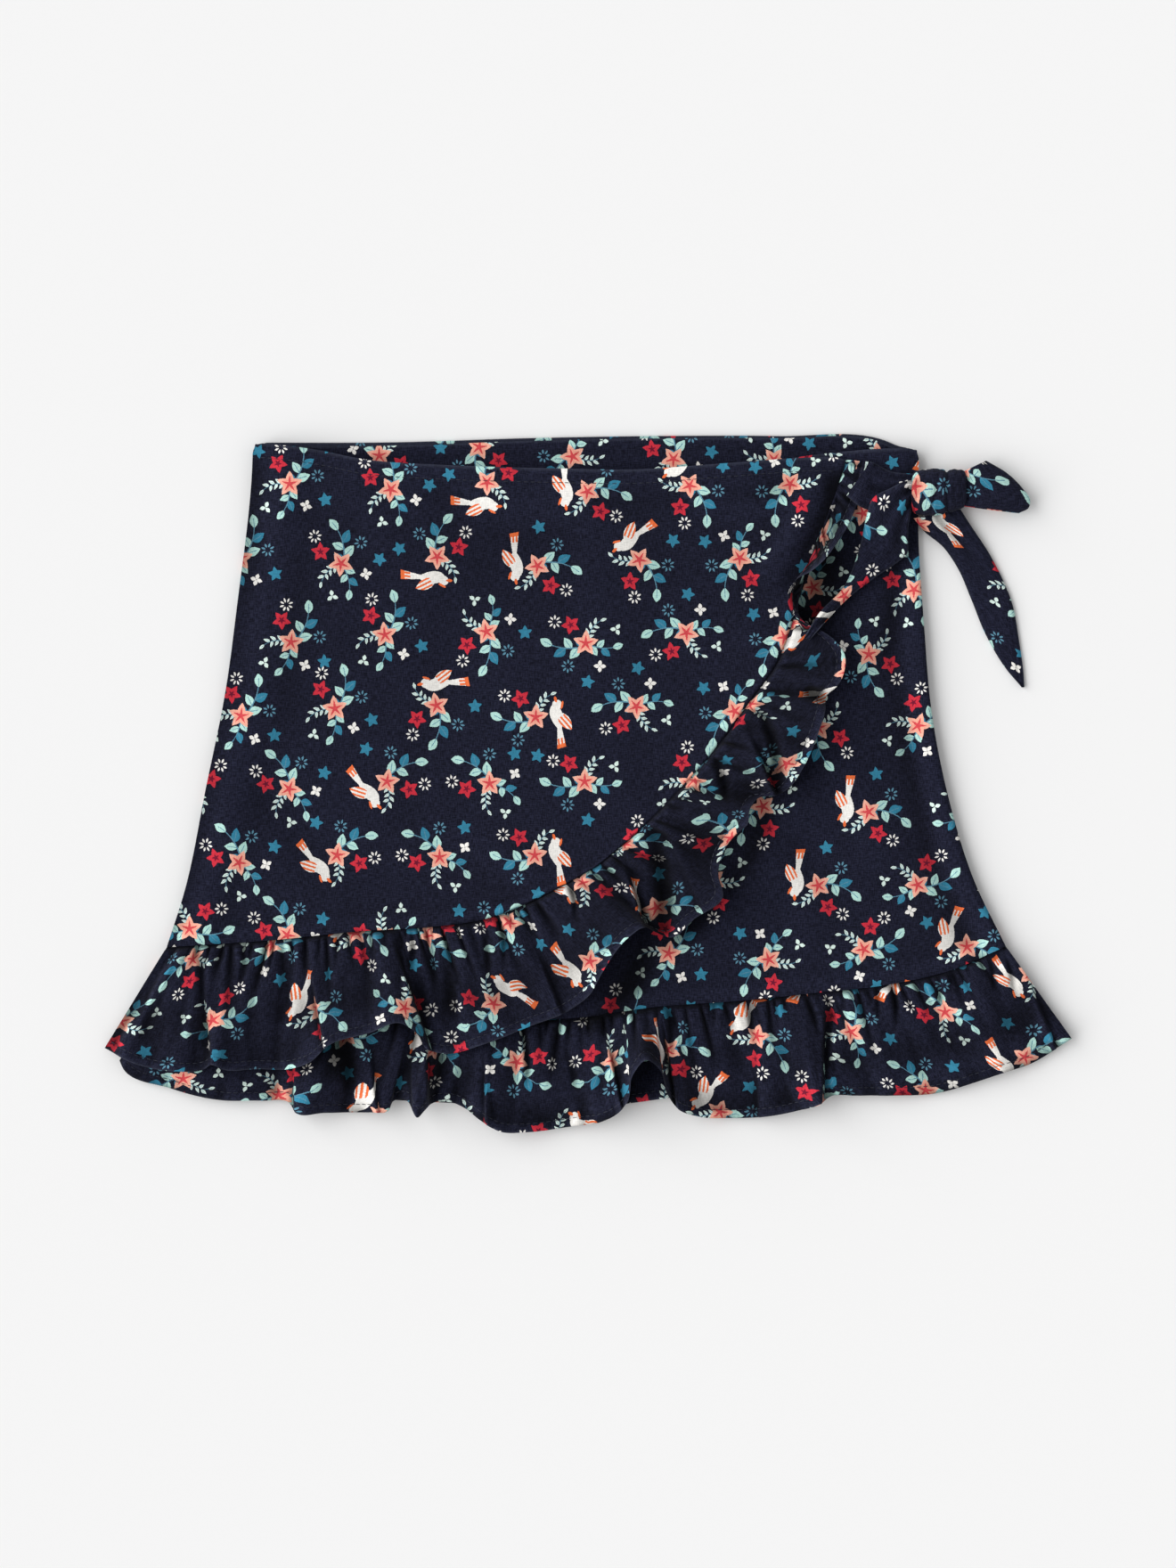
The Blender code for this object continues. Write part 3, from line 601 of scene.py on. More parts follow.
@dataclass
class Sheet:
    """A piece of cloth as a grid of points.

    Attributes:
        node: The solid that it replaces.
        plan: Rows of x and y, in millimetres.
        top: Height of the upper side at each point.
        cut: The same points on the flat cut, in millimetres.
        wall: Thickness of the cloth.
        rim: From 0 to 1 at each point, where a folded edge is lighter: wear and a painted
            highlight.
        bridge: How many cells the cloth spans beside a step in what it lies on.
        shade: Added to its hollows, where what is round it keeps the light off.
        bed: Height of what it lies on, with a little space over it.
        rests_on: Names of the pieces that it lies on.
    """

    FURROW = (14, 0.55, -0.3)  # painted shade in narrow furrows: how often evened, full depth, least value (below 0, a painted highlight on ridges)
    DALE = (110, 1.6, -0.2)  # painted shade in broad dales, likewise
    SHARES = (0.85, 0.7)  # of both in the whole
    DEEPEST, KNEE = 1.45, 1.25  # where the whole levels off
    TOUCHES = 0.02  # least part of a sheet that rests on a piece, for the piece to be named

    node: str
    plan: Array
    top: Array
    cut: Array
    wall: float
    rim: Array | float = 0.0
    bridge: int = 2
    shade: Array | float = 0.0
    bed: Array | float = 0.0
    rests_on: list[str] = field(default_factory=list)

    def lay_over(self, below: list[Object]) -> None:
        """Lifts the sheet wherever it would touch the pieces below it, or the surface at 0."""
        beds = [np.zeros(self.top.shape)] + [Tops(piece).heights(self.plan) for piece in below]
        beds = np.nan_to_num(np.array(beds), nan=-1.0)
        highest = beds.argmax(axis=0)
        self.rests_on = [piece.name for number, piece in enumerate(below, 1)
                         if (highest == number).mean() > self.TOUCHES]
        self.bed = widened(beds.max(axis=0) + SPACE, self.bridge)
        for _ in range(3):
            rise = self.bed + self.wall * steepness(self.plan, self.top) - self.top
            rise = np.maximum(rise, 0.0)
            self.top = self.top + np.maximum(rise, evened(rise, 2))

    def painted_shade(self) -> Array:
        """Painted shade at each point, from how deep it lies in a furrow and from its shade; below
        0, a painted highlight on a ridge.
        """
        deep = 0.0
        for share, (times, depth, least) in zip(self.SHARES, (self.FURROW, self.DALE)):
            deep = deep + share * np.clip((evened(self.top, times) - self.top) / depth, least, 1.0)
        deep = evened(deep, 3) + self.shade
        return np.maximum(self.DEEPEST * np.tanh(deep / self.KNEE), self.DALE[2])

    def underside(self) -> Array:
        """Height of the lower side at each point."""
        return np.maximum(self.top - self.wall * steepness(self.plan, self.top), self.bed)

    def make(self, finish: Material, below: list[Object],
             slot: Slot = Slot.PRINTED) -> Object:
        """Lays the sheet on what is below it and makes its closed shell.

        Args:
            finish: Its material.
            below: The pieces that it may lie on.
            slot: Not used.

        Returns:
            The new piece.
        """
        self.lay_over(below)
        levels = [np.dstack([self.plan, height]) for height in (self.underside(), self.top)]
        points = np.concatenate([level.reshape(-1, 3) for level in levels])
        over = self.top.size
        number = np.arange(over).reshape(self.top.shape)
        upper = quads(number[:-1, :-1], number[1:, :-1], number[1:, 1:], number[:-1, 1:])
        rim = np.concatenate([number[0, :-1], number[:-1, -1], number[-1, :0:-1],
                              number[:0:-1, 0]])
        after = np.roll(rim, -1)
        sides = quads(after, rim, over + rim, over + after)
        faces = np.concatenate([over + upper, upper[:, ::-1], sides])
        across = self.plan[:-1, 1:] - self.plan[:-1, :-1]
        down = self.plan[1:, :-1] - self.plan[:-1, :-1]
        if (down[..., 0] * across[..., 1] - down[..., 1] * across[..., 0]).sum() < 0.0:
            faces = faces[:, ::-1]
        # painted shade and highlight, and the folded edges that get painted highlight and wear
        marks = {"PaintedShade": self.painted_shade(), "Rim": self.rim * np.ones_like(self.top)}
        marks = {label: np.tile(values.ravel(), 2) for label, values in marks.items()}
        cut = np.tile(self.cut.reshape(-1, 2), (2, 1))
        return new_shell(self.node, points, faces.tolist(), cut, finish, marks)


def new_piece(name: str, points: Array, faces: list, finish: Material) -> Object:
    """A new object of the skirt.

    Args:
        name: Its name.
        points: Its points, in millimetres.
        faces: The point numbers of each face.
        finish: Its material.

    Returns:
        The object, which rides on the skirt's one body.
    """
    mesh = bpy.data.meshes.new(name)
    mesh.from_pydata((points * MM).tolist(), [], faces)
    mesh.materials.append(finish)
    mesh.shade_smooth()
    piece = bpy.data.objects.new(name, mesh)
    bpy.context.scene.collection.objects.link(piece)
    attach(piece, "root")
    return piece


def new_shell(node: str, points: Array, faces: list, cut: Array, finish: Material,
              marks: dict[str, Array] | None = None) -> Object:
    """A new piece of cloth in place of a solid.

    Args:
        node: The solid, after which the piece is named.
        points: Its points, in millimetres.
        faces: The point numbers of each face.
        cut: For each point, its place on the flat cut, in millimetres.
        finish: Its material.
        marks: Values at each point that the finish reads, by name.

    Returns:
        The piece.
    """
    piece = new_piece(node + "_cloth", points, faces, finish)
    mesh = piece.data
    for label, values in (marks or {}).items():
        mesh.attributes.new(label, "FLOAT", "POINT").data.foreach_set("value", values)
    corners = np.empty(len(mesh.loops), int)
    mesh.loops.foreach_get("vertex_index", corners)
    mesh.uv_layers.new(name="Cut").data.foreach_set("uv", (cut[corners] * MM).ravel())
    mesh.set_sharp_from_angle(angle=SHARP_ANGLE)
    mesh.validate()
    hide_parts(node)
    return piece


# ---------------------------------------------------------------- the pieces of the skirt


@dataclass
class Cloth:
    """A piece of cloth that is laid on the form of a solid.

    Attributes:
        node: The solid that it replaces.
        cut_at: Moves the print on this piece, in millimetres.
        slot: Its material slot.
        wall: Its thickness.
        sunk: How far it lies below its solid's upper side.
        sheet: Its points.
        piece: The finished object.
    """

    node: str
    cut_at: tuple[float, float]
    _: KW_ONLY
    slot: Slot = Slot.PRINTED
    wall: float = 0.6
    sunk: float = 0.15
    sheet: Sheet = field(init=False)
    piece: Object = field(init=False)

    def lay(self) -> Sheet:
        """The cloth on its solid, before it is laid over other pieces."""
        raise NotImplementedError

    def build(self, finish: Material, below: list[Object]) -> Object:
        """Makes the piece.

        Args:
            finish: Its material.
            below: The pieces that it lies on.

        Returns:
            The piece.
        """
        self.sheet = self.lay()
        self.piece = self.sheet.make(finish, below, self.slot)
        return self.piece


@dataclass
class Panel(Cloth):
    """A flat panel of the skirt.

    Attributes:
        edges: Its waist, hem seam, left side and right side.
        grid: Cells across and down.
        creases: The folds that lie on it.
        shades: Where what lies over it keeps the light off, each with its strength as its height.
        swell: Height of its broad unevenness.
        seed: Chooses that unevenness.
        stitch_depth: From the waist edge to its row of stitches.
        seam_ridge: Height of the turned-in seam allowance along the hem.
        waist_rise: How far the waist edge stands up, since the waist is open.
        side_roll: How far the cloth stands up along its right side, where it turns to the back.
        rounding: Radius of the corners of its waist.
        plan: Its points, from above.
    """

    SEAM_BAND = (8.0, 4.5)  # from a seam: where its ridge begins and where it is full
    PUCKERS = (2.6, 30.0)  # their pitch along a seam and away from it
    WAVES, RIPPLES = (34.0, 46.0), (11.0, 15.0)  # pitch of the broad and of the small unevenness

    edges: tuple[list, list, list, list]
    grid: tuple[int, int]
    _: KW_ONLY
    creases: tuple[Crease, ...] = ()
    shades: tuple[Crease, ...] = ()
    swell: float = 0.35
    seed: int = 1
    stitch_depth: float = 6.0
    seam_ridge: float = 0.45
    waist_rise: float = 0.0
    side_roll: float = 0.0
    rounding: float = 3.0
    plan: Array = field(init=False)

    def lay(self) -> Sheet:
        """The panel, with the corners of its waist rounded."""
        self.plan = patch(*self.edges, self.grid)
        for column, inwards in ((0, (0.3, -0.3)), (-1, (-0.3, -0.3))):
            away = np.linalg.norm(self.plan - self.plan[0, column], axis=-1)[..., None]
            reach = 1.7 * self.rounding
            self.plan = self.plan + self.rounding * np.array(inwards) * soft_step(away, reach, 0.0)
        top = solid_top(self.node, self.plan, 10, self.sunk) + self.relief()
        # painted shade where other cloth stands over the panel
        shade = sum((dark.relief(self.plan) for dark in self.shades), 0.0)
        return Sheet(self.node, self.plan, top, self.plan + np.array(self.cut_at), self.wall,
                     soft_step(run_along(self.plan), 1.0, 0.0), shade=shade)

    def declare(self, *sewn: Object) -> None:
        """Takes the pieces sewn to the panel, and does nothing with them."""

    def relief(self) -> Array:
        """Heights of the seams, the stitched waist, the creases and the broad unevenness."""
        sideways = self.plan.transpose(1, 0, 2)
        from_waist = run_along(self.plan)
        from_hem = from_waist[-1] - from_waist
        from_right = run_along(sideways[::-1])[::-1].T
        relief = self.swell * hills(self.plan, self.WAVES, self.seed)
        relief += 0.4 * self.swell * hills(self.plan, self.RIPPLES, self.seed + 1)
        pucker = hills(np.dstack([run_along(sideways).T, from_hem]), self.PUCKERS, self.seed + 2)
        relief += (self.seam_ridge + 0.22 * pucker) * soft_step(from_hem, *self.SEAM_BAND)
        relief -= 0.35 * soft_step(from_hem, 1.2, 0.0)
        relief -= 0.28 * bell(from_waist - self.stitch_depth, 0.9)
        relief += 0.2 * soft_step(from_waist, self.stitch_depth, self.stitch_depth - 1.5)
        relief -= 0.25 * soft_step(from_waist, 1.2, 0.0)
        relief += self.waist_rise * soft_step(from_waist, 16.0, 1.0)
        roll = soft_step(from_right, 15.0, 2.5) - 0.3 * soft_step(from_right, 1.6, 0.0)
        relief += self.side_roll * roll * soft_step(from_waist, 30.0, 62.0)
        relief += self.beside_wrap(from_right)
        return relief + sum((crease.relief(self.plan) for crease in self.creases), 0.0)

    def beside_wrap(self, from_right: Array) -> Array:
        """Height of a seam ridge along the right edge; a plain panel has none."""
        return np.zeros_like(from_right)


@dataclass
class OverFront(Panel):
    """The over-front panel, whose right edge is sewn to the ruffle as its hem is."""

    def beside_wrap(self, from_right: Array) -> Array:
        """Height of the seam ridge beside the ruffle on the wrap edge."""
        place = np.dstack([self.plan[..., 1], from_right])
        pucker = 0.3 * hills(place, self.PUCKERS, self.seed + 3)
        ridge = (0.4 * self.seam_ridge + pucker) * soft_step(from_right, *self.SEAM_BAND)
        return ridge - 0.6 * soft_step(from_right, 1.4, 0.0)


@dataclass
class Facing(Cloth):
    """The strip inside the back of the waist.

    Attributes:
        depth: Of the strip.
        inset: From the waist's ends to its ends.
        drop: From the waist edge down to its own.
        columns: Points along it.
        rows: Rows of points down it, as far as it shows.
        shown: Depth that shows.
        stitch_depth: From its upper edge to its row of stitches.
    """

    node: str = "back_waist_facing"
    cut_at: tuple[float, float] = (131.0, 47.0)
    depth: float = 30.0
    inset: float = 1.6
    drop: float = 0.6
    columns: int = 240
    rows: int = 18
    shown: float = 20.0
    stitch_depth: float = 5.5

    def lay(self) -> Sheet:
        """The strip, with the groove of its row of stitches."""
        top_edge = smooth_curve(BACK_WAIST, self.columns)
        across = np.linspace(1.0, -1.0, self.columns)
        top_edge += np.stack([self.inset * across, np.full(self.columns, -self.drop)], axis=1)
        off = np.concatenate([np.linspace(0.0, self.shown, self.rows), [self.depth]])
        plan = top_edge[None] - np.stack([np.zeros_like(off), off], axis=1)[:, None]
        top = solid_top(self.node, plan, 4, self.sunk) + 0.2 * hills(plan, (22.0, 9.0), 41)
        top -= 0.3 * bell(off - self.stitch_depth, 0.8)[:, None]
        return Sheet(self.node, plan, top, plan + np.array(self.cut_at), self.wall,
                     soft_step(off, 0.8, 0.0)[:, None])

    def declare(self) -> None:
        """Does nothing."""


@dataclass
class Ruffle(Cloth):
    """A strip of cloth gathered into a seam, with a narrow stitched hem.

    Attributes:
        panel: The panel that it is sewn to.
        edge: The panel's edge that it leaves, from left to right.
        edge_top: Height of the panel along that edge.
        hem: Its hem, one row for each column: x, y and place on the seam from 0 to 1.
        gathers: Its folds at the seam.
        tuck: How far it reaches under the panel.
        hem_fold: Depth of the hem.
        middle_rows: Rows between the seam and the hem.
        puffs: Places on the seam, and how far the cloth rises beside it there.
        flute: Height of the broad waves that open towards the hem.
        strength: Multiplies the heights of the folds and creases.
        spread_hidden: Columns on both sides of a fold that share the print's shift there.
        folds: Its larger folds.
        creases: Its other troughs and ridges.
        lifts: Places on the seam, and how far the hem rises there.
        shades: Places on the seam, and how much the gathers keep the light off there.
        darks: Further places that lie in the shade, each with its strength as its height.
        flush_from: Place on the seam from which the seam lies open and casts little shade.
        hem_row: The row of its grid that the hem's stitches follow.
    """

    NEAR = (0.1, 0.8, 1.6, 2.5, 3.6)  # rows beside the seam
    BEFORE_STITCHES, AFTER_STITCHES = (4.6, 4.0), (3.2, 2.4, 1.4, 0.6, 0.0)  # rows from the hem
    SHORT = 12.0  # a ruffle of less depth has all these rows closer together

    panel: Panel
    edge: Array
    edge_top: Array
    hem: Array
    gathers: Gathers
    _: KW_ONLY
    sunk: float = 0.1
    tuck: float = 1.4
    hem_fold: float = 3.6
    middle_rows: int = 26
    puffs: tuple = ((0.0, 2.4), (1.0, 2.4))
    flute: float = 1.2
    strength: float = 1.5
    spread_hidden: int = 31
    folds: tuple[Fold, ...] = ()
    creases: tuple[Crease, ...] = ()
    lifts: tuple = ((0.0, 0.0), (1.0, 0.0))
    shades: tuple = ((0.0, 0.3), (1.0, 0.3))
    darks: tuple[Crease, ...] = ()
    flush_from: float = 2.0
    hem_row: int = field(init=False)

    def rows_from_seam(self, height: Array) -> Array:
        """Distances of the rows from the seam, for each column.

        Args:
            height: Distance from the seam to the hem in each column.

        Returns:
            One row for each row of the sheet, under the panel's edge below 0.
        """
        squeeze = np.clip(height / self.SHORT, 0.15, 1.0)
        under = np.array([-self.tuck, -0.5])[:, None] * np.ones_like(squeeze)
        hem = (*self.BEFORE_STITCHES, self.hem_fold, *self.AFTER_STITCHES)
        near, close = (np.array(rows)[:, None] * squeeze for rows in (self.NEAR, hem))
        share = np.linspace(0.0, 1.0, self.middle_rows + 2)[1:-1, None]
        middle = near[-1] + (height - close[0] - near[-1]) * share
        rows = np.concatenate([under, near, middle, height - close])
        self.hem_row = len(rows) - len(self.AFTER_STITCHES) - 1
        return rows

    def lay(self) -> Sheet:
        """The ruffle, from the tuck under the panel's edge to its hem."""
        run = run_along(self.edge)
        share = self.hem[:, 2]
        wanted = share * run[-1]
        seam = points_at(wanted, run, self.edge)
        out = self.hem[:, :2] - seam
        height = np.linalg.norm(out, axis=1)
        off = self.rows_from_seam(height)
        plan = seam + (out / height[:, None]) * off[..., None]
        along = run_along(self.hem[:, :2])[None] * np.ones_like(off)
        relief, hidden = self.relief(plan, along, np.broadcast_to(wanted, off.shape), off)
        relief += read_off(self.puffs, share) * soft_step(off, 34.0, 2.0)
        top = solid_top(self.node, plan, 3, self.sunk, hidden_rows=3)
        top += relief * soft_step(off, 0.0, 2.0)
        top += read_off(self.lifts, share) * np.clip(off / height, 0.0, 1.0) ** 1.4
        top += self.hem_relief(along, height - off)
        flush = soft_step(share, self.flush_from, self.flush_from + 0.06)
        tucked = np.interp(wanted, run, self.edge_top) - self.panel.wall - SPACE
        top = tucked + (top - tucked) * soft_step(off, -0.2, 2.0 - 0.9 * flush)
        # painted shade along the seam, where the gathers keep the light off, fading out at the hem
        # and less beside an open seam
        shade = read_off(self.shades, share) * soft_step(height - off, 0.0, 5.0)
        shade = shade - 0.75 * flush * soft_step(off, 4.0, 1.0)
        # painted shade where other cloth stands over the ruffle
        shade = shade + sum((dark.relief(plan) for dark in self.darks), 0.0)
        return Sheet(self.node, plan, top, self.cut(plan, top, hidden), self.wall,
                     soft_step(height - off, 0.9, 0.0), shade=shade)

    def relief(self, plan: Array, along: Array, seam: Array, off: Array) -> tuple[Array, Array]:
        """Heights of the gathers, folds, creases and waves.

        Args:
            plan: Rows of points.
            along: Distance of each along the hem.
            seam: Distance of each along the seam.
            off: Distance of each from the seam.

        Returns:
            Heights, and the length of cloth hidden up to each point.
        """
        relief, hidden = self.gathers.lie(seam, off)
        for fold in self.folds:
            height, more_hidden = fold.lie(plan)
            relief, hidden = relief + self.strength * height, hidden + more_hidden
        for crease in self.creases:
            relief += self.strength * crease.relief(plan)
        place, seed = np.dstack([along, off]), self.gathers.seed
        waves = hills(place, (12.0, 90.0), seed + 11) + 0.4
        relief += self.flute * waves * soft_step(off, 2.0, 22.0)
        relief += 0.6 * hills(place, (8.5, 40.0), seed + 7)
        relief += 0.3 * hills(place, (3.6, 26.0), seed + 8)
        return relief, hidden

    def declare(self, *sewn: Object) -> None:
        """Takes the pieces sewn to the strip, and does nothing with them."""

    def hem_relief(self, along: Array, from_hem: Array) -> Array:
        """Heights of the folded hem, its stitched groove and its small puckers."""
        fold = 0.3 * soft_step(from_hem, self.hem_fold + 0.6, self.hem_fold - 0.4)
        groove = 0.25 * bell(from_hem - self.hem_fold, 0.55)
        lip = 0.3 * soft_step(from_hem, 0.7, 0.0)
        pucker = 0.16 * hills(np.dstack([along, from_hem]), (2.1, 6.0), self.gathers.seed + 3)
        return fold - groove - lip + pucker * soft_step(from_hem, 8.0, 2.0)

    def cut(self, plan: Array, top: Array, hidden: Array) -> Array:
        """Places on the flat strip.

        Args:
            plan: The rows of points.
            top: Their heights.
            hidden: The cloth hidden in folds up to each of them.

        Returns:
            Places along the strip, with the hidden cloth counted in, and down it from the seam.
        """
        band = slice(len(plan) // 2, len(plan) * 5 // 6)
        across = run_along(plan[band].transpose(1, 0, 2)).mean(axis=1)
        window = np.ones(self.spread_hidden) / self.spread_hidden
        wide = np.pad(hidden, ((0, 0), (self.spread_hidden // 2,) * 2), mode="edge")
        usual = np.array([np.convolve(row, window, mode="valid") for row in wide])
        down = 0.5 * (run_along(plan) + run_along(np.dstack([plan, top])))
        return np.dstack([across + hidden - usual, -down]) + np.array(self.cut_at)


@dataclass
class Tie(Cloth):
    """One laid stretch of a tie, folded double and closed with a seam near one edge.

    Attributes:
        sections: Sections across it, from the knot out.
        count: Rows along it.
        pleats: Folds that run out from the knot: (place across from 0 to 1, height, reach).
        seed: Chooses its wrinkles.
        strips: Cells across it.
        rise: How far it stands over its solid.
        pressed: How far the knot presses its end down.
        settled: How far its far end sinks to what it lies on.
        seam_at: From its edge to the seam that closes it.
    """

    sections: list
    count: int
    pleats: tuple
    seed: int
    _: KW_ONLY
    wall: float = 1.0  # both layers
    sunk: float = 0.2
    strips: int = 26
    rise: float = 0.0
    pressed: float = 0.0
    settled: float = 0.0
    seam_at: float = 2.4

    def lay(self) -> Sheet:
        """The stretch, with its pleats and its seam."""
        table = np.array(self.sections)
        middle = 0.5 * (table[:, 0:2] + table[:, 2:4])
        rows = smooth_curve(np.concatenate([middle, table], axis=1), self.count)
        share = (0.5 - 0.5 * np.cos(np.linspace(0.0, math.pi, self.strips + 1)))[None, :]
        plan = (1 - share[..., None]) * rows[:, None, 2:4] + share[..., None] * rows[:, None, 4:6]
        off = run_along(rows[:, :2])[:, None]
        width = np.linalg.norm(rows[:, 4:6] - rows[:, 2:4], axis=1)[:, None]
        side = np.minimum(share, 1.0 - share) * width
        top = solid_top(self.node, plan, 6, self.sunk)
        top += self.rise - 0.9 * soft_step(side, 1.8, 0.0) - self.pressed * soft_step(off, 8.0, 0.5)
        top -= self.settled * soft_step(off[-1, 0] - off, 5.0, 0.0)
        top -= 0.4 * bell(share * width - self.seam_at, 0.5)
        for place, height, reach in self.pleats:
            fade = np.clip(1.0 - off / reach, 0.0, 1.0) ** 1.1
            top += height * fade * bell(share - place, 0.055 + 0.07 * off / reach)
        run = off * np.ones_like(share)
        top += 0.22 * hills(np.dstack([share * width, run]), (5.0, 13.0), self.seed)
        cut = np.dstack([(share - 0.5) * width, run]) + np.array(self.cut_at)
        return Sheet(self.node, plan, top, cut, self.wall, soft_step(side, 0.8, 0.0), bridge=4)

    def declare(self) -> None:
        """Does nothing."""


@dataclass
class Loop:
    """The bow's loop: the tie runs out under, turns at its slanted fold and comes back on top.

    Attributes:
        node: The solid that it replaces.
        knot_end: Across the band at the knot, low to high.
        fold_end: Across the band at the fold, low to high.
        sections: From the knot to the fold: (part of the way, half of the loop's height).
        middle: Height of its middle over the surface.
        across: Points across the band.
        steps: Rows from the knot to the fold.
        wall: Thickness of its two layers.
        cut_at: Moves the print on it.
        folds: Those that fan out from the knot: (place across from 0 to 1, depth).
    """

    node: str = "bow_loop"
    knot_end: tuple = ((157.3, 116.8), (157.5, 124.0), (157.1, 130.9))
    fold_end: tuple = ((180.9, 113.7), (185.2, 116.2), (185.7, 119.0), (182.3, 124.4),
                       (176.2, 130.4), (167.2, 135.8))
    sections: tuple = ((0.0, 2.4), (0.16, 3.3), (0.38, 4.2), (0.62, 4.0), (0.82, 3.0),
                       (0.94, 1.9), (0.985, 1.1), (1.0, 0.0))
    middle: float = 5.6
    across: int = 40
    steps: int = 44
    wall: float = 0.9
    cut_at: tuple[float, float] = (63.0, 18.0)
    folds: tuple = ((0.2, 0.9), (0.47, 1.3), (0.74, 1.0))

    def build(self, finish: Material) -> Object:
        """Makes the loop.

        Args:
            finish: Its material.

        Returns:
            The loop.
        """
        near = smooth_curve(self.knot_end, self.across)
        far = smooth_curve(self.fold_end, self.across)
        turn = np.linspace(-1.0, 1.0, 2 * self.steps + 1)
        share = 1.0 - np.abs(turn) ** 1.6
        half = read_off(self.sections, share)
        half = np.convolve(np.pad(half, 2, mode="edge"), np.ones(5) / 5, mode="valid")
        half = np.where(np.abs(turn) < 1e-9, 0.0, half) * np.sign(turn)
        k = np.linspace(0.0, 1.0, self.across)
        plan = (1 - share)[:, None, None] * near + share[:, None, None] * far
        flat = 1.0 - 0.25 * np.abs(2.0 * k - 1.0) ** 2
        height = self.middle + half[:, None] * flat
        height += self.pleats(share[:, None], k[None, :]) * np.sign(turn)[:, None]
        points = np.dstack([plan, height])
        number = np.arange(height.size).reshape(height.shape)
        faces = quads(number[:-1, :-1], number[:-1, 1:], number[1:, 1:], number[1:, :-1])
        along = run_along(points).mean(axis=1)
        cut = np.dstack(np.broadcast_arrays(k * TIE_WIDTH, along[:, None])) + np.array(self.cut_at)
        piece = new_shell(self.node, points.reshape(-1, 3), faces.tolist(), cut.reshape(-1, 2),
                          finish)
        thicken(piece, self.wall)
        return piece

    def pleats(self, share: Array, k: Array) -> Array:
        """Depth of the folds that fan out from the knot, on the upper layer."""
        fan = 0.5 + (k - 0.5) * (1.0 + 0.15 * share)
        near_knot = np.clip(1.0 - share / 0.75, 0.0, 1.0) ** 1.3
        relief = 0.25 * np.sin(9.0 * k + 5.0 * share)
        for place, depth in self.folds:
            relief = relief - depth * near_knot * bell(fan - place, 0.035 + 0.05 * share)
        return relief


def thicken(piece: Object, wall: float) -> None:
    """Gives an open surface its thickness, inwards.

    Args:
        piece: The surface.
        wall: The thickness, in millimetres.
    """
    bpy.ops.object.select_all(action="DESELECT")
    piece.select_set(True)
    bpy.context.view_layer.objects.active = piece
    solidify = piece.modifiers.new("Wall", "SOLIDIFY")
    solidify.thickness = wall * MM
    solidify.offset = -1.0
    bpy.ops.object.modifier_apply(modifier=solidify.name)


@dataclass
class Knot:
    """The knot: two turns of the tie round each other, side by side along X.

    Attributes:
        node: The solid that it replaces.
        sections: Along X: (x, middle y, half width, half height).
        middle: Height of its middle over the surface.
        rings: Rings along X.
        sides: Points round each ring.
        lip: Thickness of the cloth where it lies over the ties' ends.
        space: Between the knot and what it lies on.
        girth: Length of cloth round the knot for each radian.
        cut_at: Moves the print on it.
        flat: Width and length of the cloth that shows; not used.
    """

    node: str = "bow_knot"
    sections: tuple = (
        (135.6, 122.4, 5.4, 3.0), (136.0, 122.4, 7.2, 4.2), (136.9, 122.4, 8.5, 5.2),
        (139.2, 122.4, 9.3, 6.0), (143.2, 122.4, 9.8, 6.5), (147.6, 122.6, 9.7, 6.5),
        (149.7, 122.7, 9.1, 6.0), (150.6, 122.8, 8.1, 4.9), (151.4, 123.0, 8.6, 5.5),
        (153.0, 123.2, 8.9, 5.7), (155.4, 123.5, 8.5, 5.3), (157.2, 123.7, 7.9, 4.6),
        (158.2, 123.8, 6.8, 3.9), (158.6, 123.8, 5.2, 3.2),
    )
    middle: float = 6.6
    lip: float = 1.3
    rings: int = 72
    sides: int = 88
    space: float = 0.2
    girth: float = 7.6
    cut_at: tuple[float, float] = (11.0, 97.0)
    flat: tuple[float, float] = (23.0, 26.0)

    def build(self, finish: Material, below: list[Object]) -> Object:
        """Makes the knot.

        Args:
            finish: Its material.
            below: The pieces that it lies on.

        Returns:
            The knot.
        """
        rings = smooth_curve(self.sections, self.rings)
        turn = np.arange(self.sides) * TAU / self.sides
        x = rings[:, 0:1] * np.ones(self.sides)
        out = np.sign(np.cos(turn)) * np.abs(np.cos(turn)) ** 0.85
        wrinkle = self.wrinkles(x, turn[None, :] * np.ones_like(x))
        y = rings[:, 1:2] + (rings[:, 2:3] + 0.5 * wrinkle) * out
        z = self.middle + (rings[:, 3:4] + wrinkle) * np.sin(turn)
        place, tops = np.dstack([x, y]), Tops(*below)
        beds = [tops.heights(place + np.array(step))
                for step in ((0.0, 0.0), (0.6, 0.0), (-0.6, 0.0), (0.0, 0.6), (0.0, -0.6))]
        bed = np.nan_to_num(np.array(beds), nan=-0.1).max(axis=0) + self.space
        z = np.maximum(z, bed + self.lip * np.maximum(np.sin(turn), 0.0) ** 0.5 * (bed > 0.5))
        number = np.arange(x.size).reshape(x.shape)
        after = np.roll(number, -1, axis=1)
        faces = quads(number[:-1], after[:-1], after[1:], number[1:]).tolist()
        faces = [number[0, ::-1].tolist(), *faces, number[-1].tolist()]
        round_it = self.girth * np.unwrap(turn - 0.5 * math.pi)[None, :] * np.ones_like(x)
        cut = np.dstack([x, round_it]).reshape(-1, 2) + np.array(self.cut_at)
        piece = new_shell(self.node, np.dstack([x, y, z]).reshape(-1, 3), faces, cut, finish)
        return piece

    def wrinkles(self, x: Array, turn: Array) -> Array:
        """Small folds that run round the knot with the cloth."""
        place = np.dstack([x + 1.2 * np.sin(turn + 0.6), 6.0 * turn])
        soft = 0.42 * hills(place, (1.5, 9.0), 77)
        crease = 0.5 * bell(x - 145.6 - 2.2 * np.cos(turn), 0.55)
        return (soft - crease) * soft_step(np.sin(turn), -0.4, 0.3)


# ---------------------------------------------------------------- sewing


